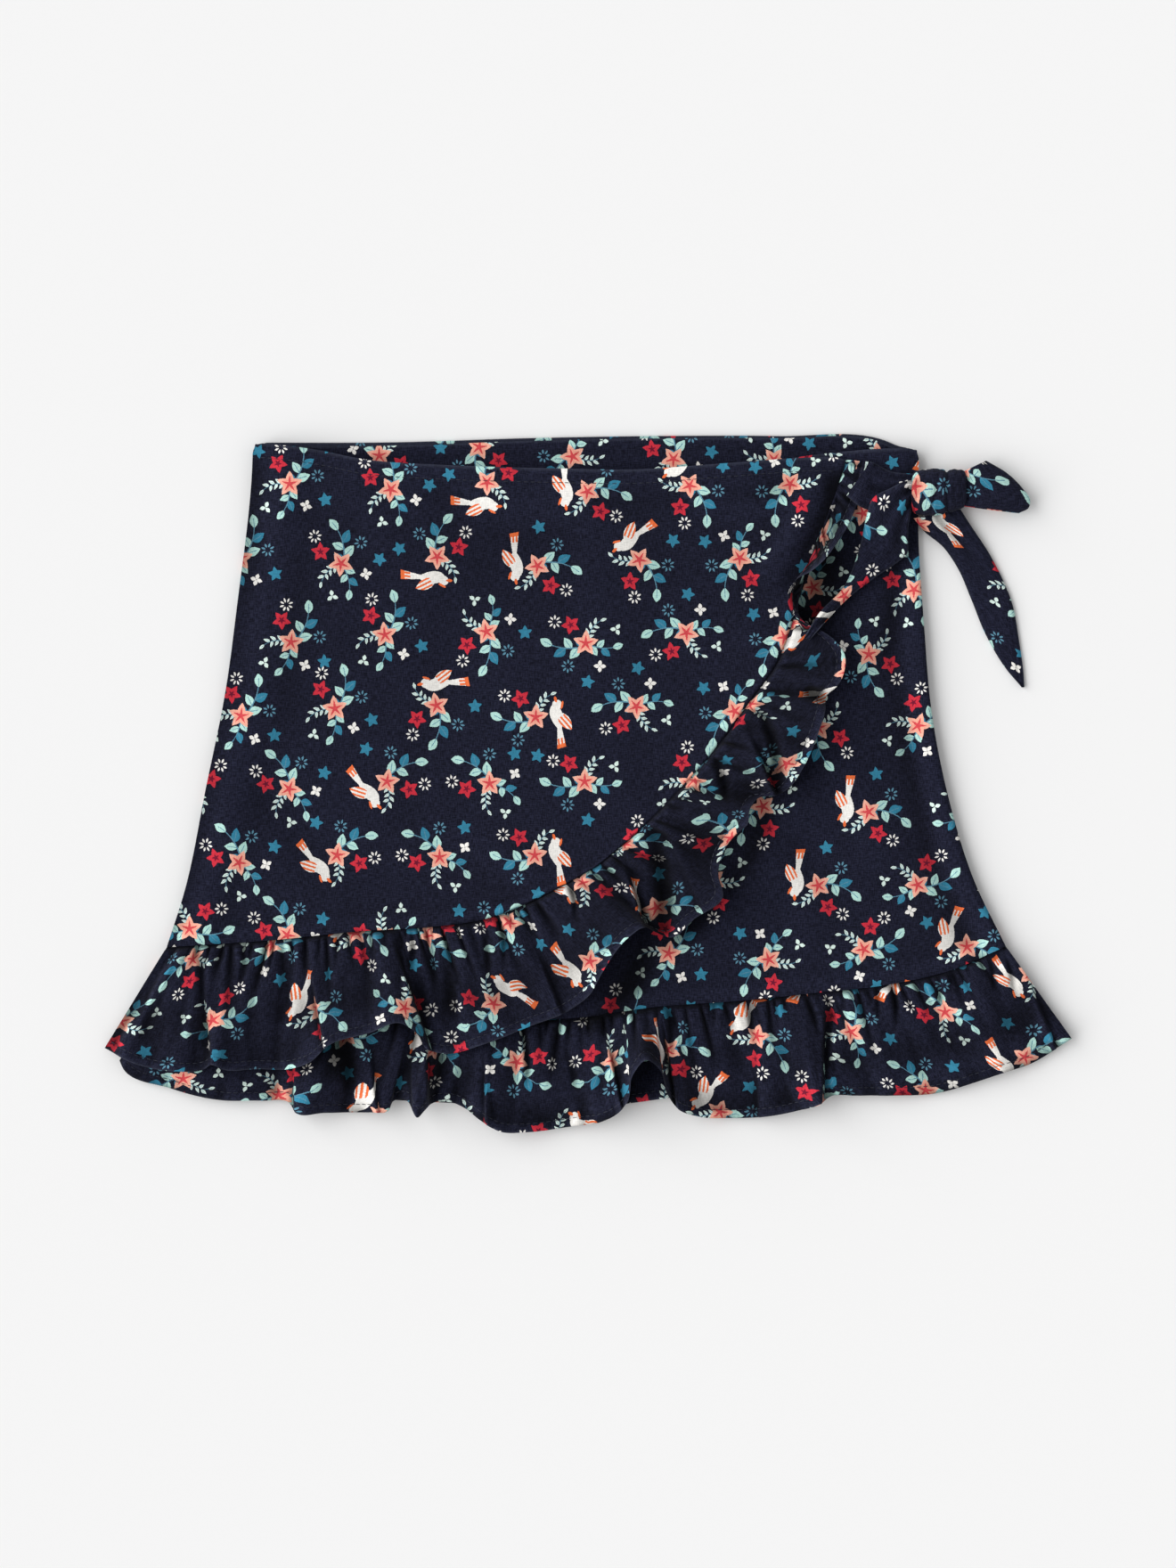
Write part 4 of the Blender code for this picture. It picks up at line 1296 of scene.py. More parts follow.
@dataclass
class Stitching:
    """Rows of thread stitches, each a small bead of thread sunk in the cloth.

    Attributes:
        length: Of a stitch, in millimetres.
        gap: From one stitch to the next.
        radius: Of the thread.
        margin: From the ends of a line to the first and last stitch.
        raised: How far its middle lies over the cloth, in parts of its radius.
    """

    length: float = 2.1
    gap: float = 0.75
    radius: float = 0.17
    margin: float = 1.0
    raised: float = 0.3

    def bead(self) -> tuple[Array, Array]:
        """One stitch along X with its middle at the origin: its points and its faces."""
        bpy.ops.object.select_all(action="DESELECT")
        bpy.ops.mesh.primitive_uv_sphere_add(segments=6, ring_count=5, radius=1.0,
                                             rotation=(0.0, math.pi / 2.0, 0.0))
        bead = bpy.context.active_object
        bpy.ops.object.transform_apply(rotation=True)
        points = np.array([v.co for v in bead.data.vertices])
        # the primitive's faces come in another order each time, so each begins at its first point
        faces = []
        for face in bead.data.polygons:
            corners = tuple(face.vertices)
            first = corners.index(min(corners))
            faces.append(corners[first:] + corners[:first])
        bpy.data.objects.remove(bead)
        return points * np.array((0.5 * self.length, self.radius, self.radius)), sorted(faces)

    def sew(self, name: str, line: Array, finish: Material) -> Object:
        """Sews along a line.

        Args:
            name: Of the new piece.
            line: Points on top of the cloth, in millimetres.
            finish: The thread's material.

        Returns:
            The stitches as one piece.
        """
        run = run_along(line)
        last = run[-1] - self.length - self.margin
        starts = np.arange(self.margin, last, self.length + self.gap)
        ends = [points_at(at, run, line) for at in (starts, starts + self.length)]
        ahead = ends[1] - ends[0]
        ahead /= np.linalg.norm(ahead, axis=1)[:, None]
        side = np.cross((0.0, 0.0, 1.0), ahead)
        side /= np.linalg.norm(side, axis=1)[:, None]
        up = np.cross(ahead, side)
        bead, bead_faces = self.bead()
        middle = 0.5 * (ends[0] + ends[1]) + self.raised * self.radius * up
        points = (middle[:, None] + bead[:, 0:1] * ahead[:, None] + bead[:, 1:2] * side[:, None]
                  + bead[:, 2:3] * up[:, None])
        faces = [tuple(corner + number * len(bead) for corner in face)
                 for number in range(len(starts)) for face in bead_faces]
        return new_piece(name, points.reshape(-1, 3), faces, finish)


# ---------------------------------------------------------------- finishes


class Board:
    """A node tree with short ways to add nodes to it and wire them."""

    def __init__(self, tree: NodeTree) -> None:
        """Takes the tree to write in."""
        self.tree = tree

    def node(self, kind: str, inputs: dict | None = None, **settings: object) -> Node:
        """Adds a node.

        Args:
            kind: Its type, without the leading ShaderNode.
            inputs: Values or other nodes' outputs for its inputs, by name or number.
            **settings: Values of its properties.

        Returns:
            The node.
        """
        node = self.tree.nodes.new("ShaderNode" + kind)
        count = len(self.tree.nodes)
        node.location = (count % 24 * 180.0, -(count // 24) * 260.0)
        for key, value in settings.items():
            setattr(node, key, value)
        for key, value in (inputs or {}).items():
            self.feed(node.inputs[key], value)
        return node

    def feed(self, socket: NodeSocket, value: object) -> None:
        """Wires an output into a socket, or sets the socket's value."""
        if isinstance(value, Term):
            value = value.socket
        if isinstance(value, NodeSocket):
            self.tree.links.new(value, socket)
        elif isinstance(value, tuple) and len(value) == 3 and len(socket.default_value) == 4:
            socket.default_value = (*value, 1.0)
        else:
            socket.default_value = value

    def term(self, kind: str, inputs: dict | None = None, output: int | str = 0,
             **settings: object) -> "Term":
        """Adds a node as node() does, and returns one of its outputs."""
        return Term(self, self.node(kind, inputs, **settings).outputs[output])

    def math(self, operation: str, *values: object) -> "Term":
        """The result of a Math node."""
        return self.term("Math", dict(enumerate(values)), operation=operation)

    def combine(self, x: object, y: object) -> "Term":
        """A flat vector from its two numbers."""
        return self.term("CombineXYZ", {"X": x, "Y": y})

    def split(self, vector: object) -> tuple["Term", "Term", "Term"]:
        """The three numbers of a vector."""
        node = self.node("SeparateXYZ", {0: vector})
        return tuple(Term(self, output) for output in node.outputs)

    def vector(self, operation: str, *values: object) -> "Term":
        """The result of a Vector Math node, its number where it gives one."""
        output = "Value" if operation == "LENGTH" else "Vector"
        return self.term("VectorMath", dict(enumerate(values)), output, operation=operation)

    def placed(self, vector: object, at: tuple, turn: float = 0.0, scale: tuple = (1.0, 1.0)) \
            -> "Term":
        """Local coordinates of a motif that lies at a place, turned and scaled."""
        return self.term("Mapping", {"Vector": vector, "Location": (*at, 0.0),
                                     "Rotation": (0.0, 0.0, turn), "Scale": (*scale, 1.0)},
                         vector_type="TEXTURE")

    def turned(self, vector: object, angle: object) -> "Term":
        """A vector turned about Z."""
        return self.term("VectorRotate", {"Vector": vector, "Angle": angle},
                         rotation_type="Z_AXIS")

    def choose(self, mask: object, no: object, yes: object) -> "Term":
        """The vector no where the mask is 0, and yes where it is 1."""
        return self.term("Mix", {0: mask, 4: no, 5: yes}, 1, data_type="VECTOR")

    def blend(self, mask: object, under: object, over: object) -> "Term":
        """The colour under, covered by the colour over where the mask is 1."""
        return self.term("Mix", {0: mask, 6: under, 7: over}, 2, data_type="RGBA")

    def noise(self, vector: object, scale: float, detail: float = 2.0, output: str = "Fac") \
            -> "Term":
        """A Noise texture's value or colour."""
        return self.term("TexNoise", {"Vector": vector, "Scale": scale, "Detail": detail}, output)

    def mark(self, name: str) -> "Term":
        """A value that the mesh holds at each point."""
        return self.term("Attribute", output="Fac", attribute_name=name)

    def bump(self, height: object, strength: float, distance: float) -> "Term":
        """A normal from heights; the distance is in metres."""
        return self.term("Bump", {"Height": height, "Strength": strength, "Distance": distance})

    def group(self, tree: NodeTree, **inputs: object) -> dict[str, "Term"]:
        """Places a group.

        Args:
            tree: The group.
            **inputs: Its inputs, with spaces in their names written as _.

        Returns:
            Its outputs by name.
        """
        node = self.tree.nodes.new("ShaderNodeGroup")
        node.node_tree = tree
        node.name = node.label = tree.name
        for key, value in inputs.items():
            self.feed(node.inputs[key.replace("_", " ")], value)
        return {output.name: Term(self, output) for output in node.outputs}


def operator(operation: str, swapped: bool = False) -> Callable[..., "Term"]:
    """A method of Term that places a Math node.

    Args:
        operation: The node's operation.
        swapped: Whether the term itself comes second.

    Returns:
        The method, which takes the node's other values.
    """
    def place(term: "Term", *others: object) -> "Term":
        values = (*others, term) if swapped else (term, *others)
        return term.board.math(operation, *values)
    return place


class Term:
    """An output in a node tree that can be reckoned with; a comparison gives a mask of 0 and 1."""

    def __init__(self, board: Board, socket: NodeSocket) -> None:
        """Takes the output and the board that it is on."""
        self.board = board
        self.socket = socket

    __add__ = __radd__ = operator("ADD")
    __sub__, __rsub__ = operator("SUBTRACT"), operator("SUBTRACT", swapped=True)
    __mul__ = operator("MULTIPLY")  # also where both of two masks are 1
    __truediv__, __rtruediv__ = operator("DIVIDE"), operator("DIVIDE", swapped=True)
    __lt__, __gt__ = operator("LESS_THAN"), operator("GREATER_THAN")
    __or__ = operator("MAXIMUM")  # where either of two masks is 1
    times_add = operator("MULTIPLY_ADD")  # times the first value, and the second added
    size = operator("ABSOLUTE")
    part = operator("FRACT")  # what is left above the next lower whole number
    whole = operator("FLOOR")

    def held(self) -> "Term":
        """The value, kept from 0 to 1."""
        return self.board.term("Clamp", {"Value": self})


SOCKETS = {"vector": "NodeSocketVector", "value": "NodeSocketFloat", "colour": "NodeSocketColor"}


def new_group(name: str, inputs: dict[str, tuple[str, object]], outputs: dict[str, str]) \
        -> tuple[NodeTree, Board, dict[str, Term], Node]:
    """Starts a shader node group.

    Args:
        name: Of the group.
        inputs: Its inputs' names, with their kind and value.
        outputs: Its outputs' names, with their kind.

    Returns:
        The group, its board, its inputs and the node that takes its outputs.
    """
    tree = bpy.data.node_groups.new(name, "ShaderNodeTree")
    for label, (kind, value) in inputs.items():
        socket = tree.interface.new_socket(label, in_out="INPUT", socket_type=SOCKETS[kind])
        if value is not None:
            socket.default_value = value
    for label, kind in outputs.items():
        tree.interface.new_socket(label, in_out="OUTPUT", socket_type=SOCKETS[kind])
    board = Board(tree)
    entry = tree.nodes.new("NodeGroupInput")
    terms = {output.name: Term(board, output) for output in entry.outputs if output.name in inputs}
    return tree, board, terms, tree.nodes.new("NodeGroupOutput")


def petal_place(board: Board, place: Term, petals: object) -> tuple[Term, Term]:
    """Folds the petals of a flower onto one.

    Args:
        board: The board to write on.
        place: Coordinates with the flower's middle at the origin.
        petals: How many petals it has.

    Returns:
        Distance along the petal, and distance from its middle line.
    """
    x, y, _ = board.split(place)
    sector = board.math("DIVIDE", TAU, petals)
    turn = ((board.math("ARCTAN2", y, x) / sector + 0.5).part() - 0.5) * sector
    reach = board.vector("LENGTH", place)
    along = reach * board.math("COSINE", turn)
    return along, (reach * board.math("SINE", turn)).size()


def star_group() -> NodeTree:
    """A flower of five pointed petals that join, with a thin star in its middle."""
    tree, board, given, leave = new_group(
        "Star flower",
        {"Place": ("vector", None), "Reach": ("value", 5.4), "Heart": ("value", 0.6)},
        {"Petals": "value", "Heart": "value"})
    along, side = petal_place(board, given["Place"], 5.0)
    part = along / given["Reach"]
    side = side / given["Reach"]
    petals = side < (0.34 - board.math("POWER", part, 2.4) * 0.34)
    heart_part = part / given["Heart"]
    heart = side < (0.1 - heart_part * heart_part * 0.1)
    board.feed(leave.inputs["Petals"], petals)
    board.feed(leave.inputs["Heart"], heart)
    return tree


def rosette_group() -> NodeTree:
    """A small flower of separate rounded petals."""
    tree, board, given, leave = new_group(
        "Small flower",
        {"Place": ("vector", None), "Petals": ("value", 8.0), "Inner": ("value", 0.9),
         "Outer": ("value", 3.2), "Breadth": ("value", 0.45)},
        {"Petals": "value"})
    along, side = petal_place(board, given["Place"], given["Petals"])
    part = (along - given["Inner"]) / (given["Outer"] - given["Inner"])
    board.feed(leave.inputs["Petals"], side < (part * (1.0 - part) * 4.0 * given["Breadth"]))
    return tree


def sprig_group() -> NodeTree:
    """A bent stem with leaves on both sides by turns and one leaf at its end."""
    tree, board, given, leave = new_group(
        "Sprig",
        {"Place": ("vector", None), "Bend": ("value", 20.0), "Length": ("value", 12.0),
         "Leaf": ("value", 5.8), "Breadth": ("value", 1.75), "Pitch": ("value", 5.6),
         "Slant": ("value", 0.85)},
        {"Stem": "value", "Leaves": "value", "Dark leaves": "value"})
    x, y, _ = board.split(given["Place"])
    bend, pitch, length = given["Bend"], given["Pitch"], given["Length"]
    run = board.math("ARCTAN2", x, bend - y) * bend
    off = bend - board.vector("LENGTH", board.combine(x, y - bend))
    away = off.size()
    side = board.math("SIGN", off)
    stem = (away < (0.3 - run / length * 0.12)) * (run > 0.0) * (run < length)
    # the leaf at the stem's end
    end_part = (run - length) / given["Leaf"]
    end_leaf = away < (end_part * (1.0 - end_part) * 4.0 * given["Breadth"])
    end_rib = (away < 0.14) * (end_part > 0.0) * (end_part < 0.7)
    # the leaves along it
    order = run / pitch + side * 0.25 + 0.1
    count = order.whole()
    dark = ((count + side * 0.5 + 0.5) * 0.5).part() > 0.25
    there = (count > -0.5) * (((count + 0.5) * pitch) < length)
    leaned = board.turned(board.combine(order.part() * pitch - 0.6, away), given["Slant"] * -1.0)
    ahead, beside, _ = board.split(leaned)
    part = (ahead / given["Leaf"]).held()
    beside = beside.size()
    blade = (beside < (part * (1.0 - part) * (1.25 - part * 0.5) * 4.0 * given["Breadth"])) * there
    rib = (beside < 0.14) * (part > -0.08) * (part < 0.75) * there
    board.feed(leave.inputs["Stem"], stem | rib | end_rib)
    board.feed(leave.inputs["Leaves"], blade | end_leaf)
    board.feed(leave.inputs["Dark leaves"], blade * dark)
    return tree


def bird_group() -> NodeTree:
    """A plain small songbird from the side, its head towards +X, about 24 mm long."""
    tree, board, given, leave = new_group(
        "Songbird", {"Place": ("vector", None)}, {"Body": "value", "Strokes": "value"})
    place = given["Place"]
    x, y, _ = board.split(place)
    # the body is a drop, the head a disc and the tail a wedge
    part = (x + 5.6) / 11.6
    body = y.size() < (board.math("POWER", part * (1.0 - part) * 4.0, 0.7) * (part + 0.9) * 1.75)
    head = board.vector("LENGTH", board.placed(place, (5.4, 1.5))) < 2.0
    rear = (x + 3.2) * -1.0
    slope = y + rear * 0.16
    tail = (slope.size() < (rear * 0.13 + 0.75)) * (rear > 0.0) * (rear < 9.4)
    # the wing's feathers and the tail's tip are drawn in strokes
    along, over, _ = board.split(board.placed(place, (2.4, 0.9), 2.75))
    wing_part = along / 9.6
    wing = over.size() < (wing_part * (1.0 - wing_part) * 4.0 * 2.3)
    feathers = ((over * 0.62 + wing_part * 0.3).part() < 0.5) * wing * (wing_part > 0.25)
    tip = tail * (rear > 5.4) * (((slope * 0.7).part() < 0.6) | (rear > 7.8))
    beak = board.vector("LENGTH", board.placed(place, (7.7, 1.5), 0.0, (1.3, 0.6))) < 1.0
    crest = board.vector("LENGTH", board.placed(place, (4.7, 3.5), 0.5, (1.7, 0.5))) < 1.0
    board.feed(leave.inputs["Body"], body | head | tail | wing)
    board.feed(leave.inputs["Strokes"], feathers | tip | beak | crest)
    return tree


def lattice_group() -> NodeTree:
    """Repeats a motif: coordinates round the middle of its cell, mirrored and turned at random."""
    tree, board, given, leave = new_group(
        "Repeat",
        {"Place": ("vector", None), "Pitch": ("vector", (42.0, 62.0, 1.0)),
         "Start": ("vector", (0.0, 0.0, 0.0)), "Sway": ("value", TAU)},
        {"Place": "vector", "Chance": "value"})
    away = board.vector("SUBTRACT", given["Place"], given["Start"])
    cell = board.vector("DIVIDE", away, given["Pitch"])
    number = board.vector("FLOOR", cell)
    chance = board.node("TexWhiteNoise", {"Vector": number}, noise_dimensions="2D")
    red, green, blue = board.split(chance.outputs["Color"])
    part = board.vector("SUBTRACT", board.vector("SUBTRACT", cell, number), (0.5, 0.5, 0.0))
    middle = board.vector("MULTIPLY", part, given["Pitch"])
    stray = board.combine((red * 2.0).part() - 0.5, (green * 2.0).part() - 0.5)
    middle = board.vector("ADD", middle, board.vector("MULTIPLY", stray, (3.0, 6.0, 0.0)))
    flip = board.combine(board.math("SIGN", red - 0.5), 1.0)
    flipped = board.vector("MULTIPLY", middle, flip)
    board.feed(leave.inputs["Place"], board.turned(flipped, (blue - 0.5) * given["Sway"]))
    board.feed(leave.inputs["Chance"], chance.outputs["Value"])
    return tree


@dataclass(frozen=True)
class Inks:
    """The print's colours, as linear red, green and blue."""

    mint: tuple = (0.43, 0.68, 0.62)
    pale_mint: tuple = (0.66, 0.80, 0.74)
    teal: tuple = (0.035, 0.20, 0.31)
    slate: tuple = (0.10, 0.24, 0.33)
    coral: tuple = (0.82, 0.30, 0.22)
    peach: tuple = (0.88, 0.46, 0.35)
    rose: tuple = (0.62, 0.065, 0.075)
    red: tuple = (0.56, 0.03, 0.05)
    wine: tuple = (0.16, 0.01, 0.03)
    white: tuple = (0.82, 0.80, 0.76)
    orange: tuple = (0.80, 0.16, 0.05)


def bouquet_group(inks: Inks, groups: dict[str, NodeTree]) -> NodeTree:
    """A star flower with two leafy sprigs, a fine sprig, smaller stars and small flowers round it.

    Args:
        inks: The print's colours.
        groups: The motifs' groups by name.

    Returns:
        The group, which prints the bouquet on the colour that it is given.
    """
    tree, board, given, leave = new_group(
        "Bouquet", {"Place": ("vector", None), "Cloth": ("colour", None), "Bird": ("value", 0.0)},
        {"Colour": "colour"})
    place, cloth, bird = given["Place"], given["Cloth"], given["Bird"]
    x, y, _ = board.split(place)
    right, up = x > 0.0, y > 0.0
    plain_left = 1.0 - (1.0 - right) * bird
    # small flowers, one in each quarter: white and slate dots, a white blossom, a mint sprout
    upper = board.choose(right, (-12.6, 6.4, 0.0), (13.4, 8.4, 0.0))
    lower = board.choose(right, (-6.4, -9.4, 0.0), (7.0, -10.0, 0.0))
    local = board.vector("SUBTRACT", place, board.choose(up, lower, upper))
    blossom = (1.0 - right) * (1.0 - up)
    sprout = (1.0 - right) * up
    few = blossom | sprout
    petals = 8.0 - (blossom * 4.0 + sprout * 5.0)
    small = board.group(groups["rosette"], Place=local, Petals=petals, Inner=1.0 - few * 0.9,
                        Outer=2.9 - few * 0.3, Breadth=few * 0.42 + 0.4)
    ink = board.blend(right * (1.0 - up), inks.white, inks.slate)
    ink = board.blend(sprout, ink, inks.pale_mint)
    colour = board.blend(small["Petals"] * plain_left, cloth, ink)
    # the sprigs: leafy ones to the right and left, a fine one up
    turn = board.math("ARCTAN2", y, x)
    fine = (turn > 1.15) * (turn < 2.55)
    spot = board.choose(right, board.placed(place, (-1.5, -0.5), math.pi + 0.4, (0.8, -0.8)),
                        board.placed(place, (1.5, -1.5), -0.32))
    spot = board.choose(fine, spot, board.placed(place, (-1.0, 3.0), 1.78, (0.5, 0.5)))
    sprig = board.group(groups["sprig"], Place=spot, Length=12.6 + fine * 4.0,
                        Breadth=1.75 - fine * 0.5, Pitch=5.6 - fine * 0.6)
    shown = plain_left | fine
    leaf = board.blend(fine, inks.mint, inks.pale_mint)
    leaf = board.blend(sprig["Dark leaves"] * (1.0 - fine), leaf, inks.teal)
    colour = board.blend(sprig["Leaves"] * shown, colour, leaf)
    colour = board.blend(sprig["Stem"] * shown, colour, inks.slate)
    # a red star above, and below a small teal one
    star_place = board.choose(up, board.placed(place, (-1.5, -16.2), 0.5, (0.76, 0.76)),
                              board.placed(place, (6.6, 7.4), 1.1))
    small_star = board.group(groups["star"], Place=star_place, Reach=4.1, Heart=0.42)
    colour = board.blend(small_star["Petals"], colour, board.blend(up, inks.teal, inks.red))
    colour = board.blend(small_star["Heart"] * up, colour, inks.wine)
    # the coral star in the middle
    star_place = board.placed(place, (0.0, 0.0), 0.32)
    star = board.group(groups["star"], Place=star_place, Reach=5.5, Heart=0.66)
    petal_ink = board.blend((board.vector("LENGTH", place) / 5.0).held(), inks.coral, inks.peach)
    colour = board.blend(star["Petals"], colour, petal_ink)
    colour = board.blend(star["Heart"], colour, inks.rose)
    # the bird takes the left sprig's place
    bird_shape = board.group(groups["bird"], Place=board.placed(place, (-9.0, 0.0), 1.25))
    colour = board.blend(bird_shape["Body"] * bird, colour, inks.white)
    colour = board.blend(bird_shape["Strokes"] * bird, colour, inks.orange)
    board.feed(leave.inputs["Colour"], colour)
    return tree


def weave_group() -> NodeTree:
    """A plain weave with slightly uneven threads."""
    tree, board, given, leave = new_group(
        "Plain weave", {"Place": ("vector", None), "Pitch": ("value", 0.36)},
        {"Height": "value", "Shade": "value"})
    x, y, _ = board.split(given["Place"])
    turn = math.pi / given["Pitch"]
    warp, weft = (board.math("SINE", place * turn) for place in (x, y))
    slub_x, slub_y = (board.noise(board.combine(x * across, y * down), 1.0)
                      for across, down in ((2.8, 0.4), (0.4, 2.8)))
    slub = slub_x + slub_y - 1.0
    board.feed(leave.inputs["Height"], (warp * weft).times_add(0.5, slub))
    board.feed(leave.inputs["Shade"], (slub * 2.7 + 0.5).held())
    return tree


def new_finish(name: str, roughness: float, **more: float) -> tuple[Material, Board, Node]:
    """Starts a material.

    Args:
        name: Its name.
        roughness: Its roughness.
        **more: Values of its shader's other sockets, with spaces in their names written as _.

    Returns:
        The material, its board and its shader.
    """
    finish = bpy.data.materials.new(name)
    finish.use_nodes = True
    shader = finish.node_tree.nodes["Principled BSDF"]
    shader.inputs["Roughness"].default_value = roughness
    for key, value in more.items():
        shader.inputs[key.replace("_", " ")].default_value = value
    return finish, Board(finish.node_tree), shader


@dataclass(frozen=True)
class PrintedCotton:
    """Matt navy cotton with a small flower, leaf and bird print.

    Attributes:
        name: Of the material.
        navy: The cloth's darker threads.
        navy_light: Its lighter threads.
        wear_and_highlight_edge: The cloth along a folded edge, lighter from wear and a painted
            highlight.
        painted_shade_strength: How much darker painted shade of 1 makes the cloth, from 0 to 1.
        roughness: Of the cloth.
        sheen: Weight of its sheen.
        gloss: Level of its mirror-like reflection.
        starts: Where the print's two lattices of bouquets start, in millimetres, each with the
            share of its bouquets that have a bird.
        inks: The print's colours.
    """

    name: str = "printed_cotton"
    navy: tuple = (0.0055, 0.0060, 0.0138)
    navy_light: tuple = (0.0154, 0.0169, 0.0350)
    wear_and_highlight_edge: tuple = (0.034, 0.038, 0.060)
    painted_shade_strength: float = 0.62
    roughness: float = 0.85
    sheen: float = 0.035
    gloss: float = 0.06
    starts: tuple = (((0.0, 0.0, 0.0), 0.5), ((21.0, 31.0, 0.0), 0.34))
    inks: Inks = Inks()

    def material(self) -> Material:
        """The finish as a material that reads the cloth's flat cut."""
        motifs = {"star": star_group(), "rosette": rosette_group(), "sprig": sprig_group(),
                  "bird": bird_group()}
        repeat, bouquet = lattice_group(), bouquet_group(self.inks, motifs)
        weave = weave_group()
        finish, board, shader = new_finish(self.name, self.roughness, Sheen_Weight=self.sheen,
                                           Sheen_Roughness=0.5, Specular_IOR_Level=self.gloss)
        cut = board.term("UVMap", uv_map="Cut")
        place = board.vector("MULTIPLY", cut, (1000.0, 1000.0, 0.0))
        threads = board.group(weave, Place=place)
        cloth = board.blend(threads["Shade"], self.navy, self.navy_light)
        # a folded edge is lighter: wear, and a painted highlight where it catches the light
        colour = board.blend(board.mark("Rim") * 0.8, cloth, self.wear_and_highlight_edge)
        # the ink's edge strays a little with the threads
        frayed = board.noise(place, 2.2, 1.0, "Color")
        stray = board.vector("SUBTRACT", frayed, (0.5, 0.5, 0.5))
        drawn = board.vector("ADD", place, board.vector("MULTIPLY", stray, (0.45, 0.45, 0.0)))
        for start, birds in self.starts:
            cell = board.group(repeat, Place=drawn, Start=start)
            colour = board.group(bouquet, Place=cell["Place"], Cloth=colour,
                                 Bird=cell["Chance"] < birds)["Colour"]
        # painted shade in furrows and shaded places and a painted highlight on ridges, times the
        # threads' own tone
        light = board.mark("PaintedShade").times_add(-self.painted_shade_strength, 1.0)
        value = (threads["Shade"] * 0.26 + 0.87) * light
        thread_tone_and_shade = board.term("HueSaturation", {"Color": colour, "Value": value})
        board.feed(shader.inputs["Base Color"], thread_tone_and_shade)
        board.feed(shader.inputs["Normal"], board.bump(threads["Height"], 0.35, 0.00012))
        return finish


@dataclass(frozen=True)
class Thread:
    """Navy sewing thread, twisted and a little glossy.

    Attributes:
        name: Of the material.
        dark: Its darkest colour.
        light: Its lightest colour.
        roughness: Of the thread.
        twists: How fine its twist is.
    """

    name: str = "navy_thread"
    dark: tuple = (0.006, 0.008, 0.018)
    light: tuple = (0.016, 0.019, 0.038)
    roughness: float = 0.6
    twists: float = 2600.0

    def material(self) -> Material:
        """The finish as a material."""
        finish, board, shader = new_finish(self.name, self.roughness)
        twist = board.noise(board.term("TexCoord", output="Object"), self.twists)
        board.feed(shader.inputs["Base Color"], board.blend(twist, self.dark, self.light))
        board.feed(shader.inputs["Normal"], board.bump(twist, 0.5, 0.00008))
        return finish


@dataclass(frozen=True)
class PaperFloor:
    """The plain pale surface that the skirt lies on.

    Attributes:
        name: Of the material.
        colour: Its darkest colour.
        lighter: Its lightest colour, in parts of that.
        roughness: Of the surface.
        grain: How fine its grain is.
    """

    name: str = "pale_surface"
    colour: tuple = (0.90, 0.90, 0.90)
    lighter: float = 1.004
    roughness: float = 0.95
    grain: float = 300.0

    def material(self) -> Material:
        """The finish as a material."""
        finish, board, shader = new_finish(self.name, self.roughness, Specular_IOR_Level=0.0)
        grain = board.noise(board.term("TexCoord", output="Object"), self.grain)
        lighter = tuple(self.lighter * value for value in self.colour)
        board.feed(shader.inputs["Base Color"], board.blend(grain, self.colour, lighter))
        return finish


# ---------------------------------------------------------------- the whole


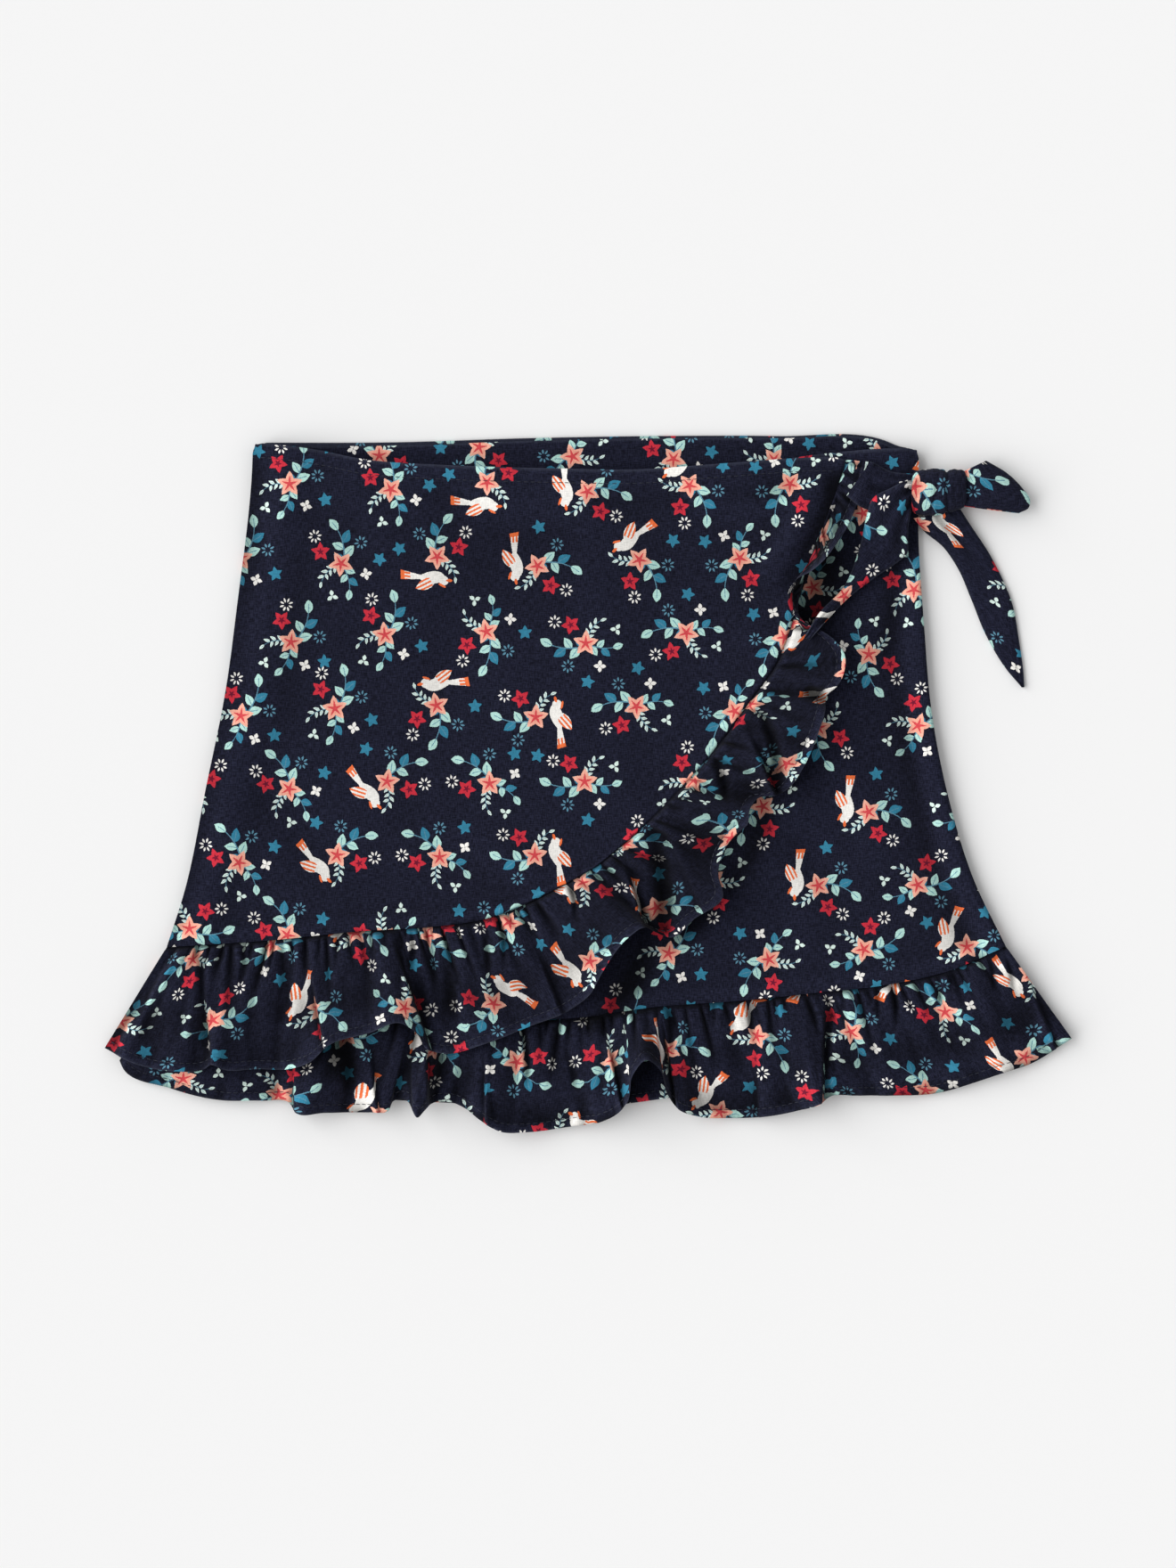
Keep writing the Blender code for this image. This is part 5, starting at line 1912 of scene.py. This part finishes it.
@dataclass
class Skirt:
    """The skirt's pieces, built from the bottom up."""

    cotton: Material
    thread: Material
    made: list[Object] = field(default_factory=list)

    def add(self, piece: Object) -> Object:
        """Notes a finished piece and reports it."""
        self.made.append(piece)
        LOG.info("%s: %d faces", piece.name, len(piece.data.polygons))
        return piece

    def build(self) -> None:
        """Builds every piece, each over those that are made before it."""
        sides = self.inset(LEFT_SIDE, 0.8), self.inset(RIGHT_SIDE, -0.8)
        back = Panel("back_panel", (17.0, 33.0), (BACK_WAIST, BACK_SEAM, *sides), (120, 70),
                     slot=Slot.INNER, seed=3, swell=0.1)
        self.add(back.build(self.cotton, []))
        back.declare()
        self.add_ruffle("back_ruffle", (0.0, 12.0), back, BACK_HEM, 300,
                        Gathers(31, depth=(0.3, 0.9)), [], slot=Slot.INNER, flute=0.3,
                        puffs=((0.0, 0.6), (1.0, 0.6)))
        facing = Facing()
        self.add(facing.build(self.cotton, self.made[:1]))
        facing.declare()

        left = self.inset(LEFT_SIDE, 7.0)
        left[0], left[-1] = UNDER_WAIST[0], FRONT_SEAM[0]
        under = Panel("under_front_panel", (9.0, 71.0),
                      (UNDER_WAIST, FRONT_SEAM, left, RIGHT_SIDE), (200, 130), seed=11,
                      creases=Crease.rows(UNDER_CREASES), shades=Crease.rows(UNDER_SHADES),
                      waist_rise=0.8, side_roll=2.4)
        self.add(under.build(self.cotton, self.cloths()))
        under.declare()
        self.add_ruffle("under_front_ruffle", (37.0, 20.0), under, UNDER_HEM, 860, Gathers(58),
                        self.made[:2], folds=Fold.rows(UNDER_FOLDS), lifts=UNDER_LIFTS,
                        creases=Crease.rows(UNDER_TROUGHS), darks=Crease.rows(UNDER_CAST_SHADES))

        wrap_edges = WRAP_SEAM[:WRAP_CORNER + 1], LEFT_SIDE, WRAP_SEAM[WRAP_CORNER:][::-1]
        over = OverFront("over_front_panel", (0.0, 0.0), (OVER_WAIST, *wrap_edges), (190, 130),
                         seed=21, creases=Crease.rows(OVER_CREASES),
                         shades=Crease.rows(OVER_SHADES), waist_rise=1.3)
        self.add(over.build(self.cotton, self.cloths()))
        self.add_wrap_ruffle(over)
        self.sew_waist(over)
        self.add_bow()

    def cloths(self) -> list[Object]:
        """What is made so far, without the sewing."""
        return [piece for piece in self.made if "stitches" not in piece.name]

    @staticmethod
    def inset(edge: list, by: float) -> list:
        """An edge moved along X."""
        return [(x + by, y) for x, y in edge]

    def add_ruffle(self, node: str, cut_at: tuple[float, float], panel: Panel, hem_points: list,
                   columns: int, gathers: Gathers, below: list[Object], **more: object) -> None:
        """Adds a ruffle to the hem seam of a panel, and its hem's stitches.

        Args:
            node: The solid that it replaces.
            cut_at: Moves the print on it.
            panel: The panel.
            hem_points: Its hem, from left to right.
            columns: Points along it.
            gathers: Its small furrows.
            below: The pieces that it lies on.
            **more: Other fields of the ruffle.
        """
        hem = smooth_curve(hem_points, columns)
        share = np.maximum.accumulate((hem[:, 0] - hem[0, 0]) / (hem[-1, 0] - hem[0, 0]))
        ruffle = Ruffle(node, cut_at, panel, panel.plan[-1], panel.sheet.top[-1],
                        np.column_stack([hem[:, :2], share]), gathers, **more)
        self.sew_ruffle(ruffle, below)

    def add_wrap_ruffle(self, over: Panel) -> None:
        """Adds the ruffle that runs round the over-front's hem and up its wrap edge."""
        hem = smooth_curve(WRAP_HEM, 920)
        share = np.maximum.accumulate(np.clip(hem[:, 2] / WRAP_HEM[-1][2], 0.0, 1.0))
        edge, edge_top = (np.concatenate([grid[-1], grid[-2::-1, -1]])
                          for grid in (over.plan, over.sheet.top))
        below = [piece for piece in self.cloths() if not piece.name.startswith("over_front")]
        ruffle = Ruffle("wrap_ruffle", (64.0, 5.0), over, edge, edge_top,
                        np.column_stack([hem[:, :2], share]), Gathers(92),
                        folds=Fold.rows(WRAP_FOLDS), creases=Crease.rows(WRAP_TROUGHS),
                        flush_from=0.38, puffs=WRAP_PUFFS, shades=WRAP_SHADES, lifts=WRAP_LIFTS)
        self.sew_ruffle(ruffle, below)

    def sew_ruffle(self, ruffle: Ruffle, below: list[Object]) -> None:
        """Adds a ruffle over the pieces below it, and the row of stitches along its hem."""
        self.add(ruffle.build(self.cotton, below))
        line = np.dstack([ruffle.sheet.plan, ruffle.sheet.top])[ruffle.hem_row]
        ruffle.declare(self.add(Stitching().sew(ruffle.node + "_hem_stitches", line, self.thread)))

    def sew_waist(self, over: Panel) -> None:
        """Adds the row of stitches under the over-front's waist edge."""
        from_waist = run_along(over.plan)
        whole = np.dstack([over.plan, over.sheet.top])
        depth = np.array([over.stitch_depth])
        line = np.concatenate([points_at(depth, from_waist[:, column], whole[:, column])
                               for column in range(2, whole.shape[1] - 2)])
        over.declare(self.add(Stitching().sew("waist_stitches", line, self.thread)))

    def add_bow(self) -> None:
        """Adds the two ties and their knot."""
        front = self.cloths()
        strap = Tie("over_tie_strap", (80.0, 3.0), STRAP_SECTIONS, 40, STRAP_PLEATS, 61,
                    settled=1.2)
        left = Tie("bow_left_tail", (22.0, 40.0), LEFT_TAIL_SECTIONS, 90, LEFT_TAIL_PLEATS, 62,
                   rise=1.5, pressed=3.2)
        right = Tie("bow_right_tail", (96.0, 25.0), RIGHT_TAIL_SECTIONS, 90, RIGHT_TAIL_PLEATS, 63)
        for tie in (strap, left, right):
            on_strap = [strap.piece] if tie is left else []
            self.add(tie.build(self.cotton, front + on_strap))
            tie.declare()
        self.add(Loop().build(self.cotton))
        self.add(Knot().build(self.cotton, self.cloths()))


@dataclass(frozen=True)
class Studio:
    """The pale surface, the soft light from the left and the camera straight above.

    Attributes:
        height: Of the camera over the surface, in metres.
        seen: The longer side of what the camera sees on the surface.
        sun: Strength of the window's light.
        sky: Strength of the room's light.
        softness: Angle that the window fills, in degrees.
        window: Where the window is, as seen from the skirt.
        floor_size: Side of the pale surface, in metres.
        floor_gap: How far it lies below the skirt.
        sensor: Width of the camera's sensor, in millimetres.
    """

    height: float = 2.4
    seen: float = 0.660
    sun: float = 3.68
    sky: float = 0.507
    softness: float = 84.0
    window: tuple[float, float, float] = (-0.92, 0.06, 0.42)
    floor_size: float = 8.0
    floor_gap: float = 0.0002
    sensor: float = 36.0

    def build(self) -> None:
        """Makes the surface, the light and the camera."""
        bpy.ops.object.select_all(action="DESELECT")
        bpy.ops.mesh.primitive_plane_add(size=self.floor_size, location=(0.0, 0.0, -self.floor_gap))
        floor = bpy.context.active_object
        floor.name = "surface"
        floor.data.materials.append(PaperFloor().material())
        bpy.ops.object.transform_apply(location=True)

        light = bpy.data.lights.new("soft_window", "SUN")
        light.energy = self.sun
        light.angle = math.radians(self.softness)
        lamp = bpy.data.objects.new("soft_window", light)
        lamp.rotation_euler = Vector(self.window).to_track_quat("Z", "Y").to_euler()

        camera = bpy.data.cameras.new("camera")
        camera.sensor_width = self.sensor
        camera.lens = self.sensor * self.height / self.seen
        eye = bpy.data.objects.new("camera", camera)
        eye.location = (0.0, 0.0, self.height)

        world = bpy.data.worlds.new("white_room")
        world.use_nodes = True
        sky = world.node_tree.nodes["Background"]
        sky.inputs["Color"].default_value = (1.0, 1.0, 1.0, 1.0)
        sky.inputs["Strength"].default_value = self.sky

        scene = bpy.context.scene
        for placed in (lamp, eye):
            scene.collection.objects.link(placed)
        scene.world, scene.camera = world, eye
        scene.view_settings.view_transform = "Standard"


def main() -> None:
    """Builds the studio and the skirt."""
    logging.basicConfig(level=logging.INFO, format="%(message)s")
    Studio().build()
    skirt = Skirt(PrintedCotton().material(), Thread().material())
    skirt.build()
    LOG.info("%d pieces", len(skirt.made))


if __name__ == "__main__":
    main()
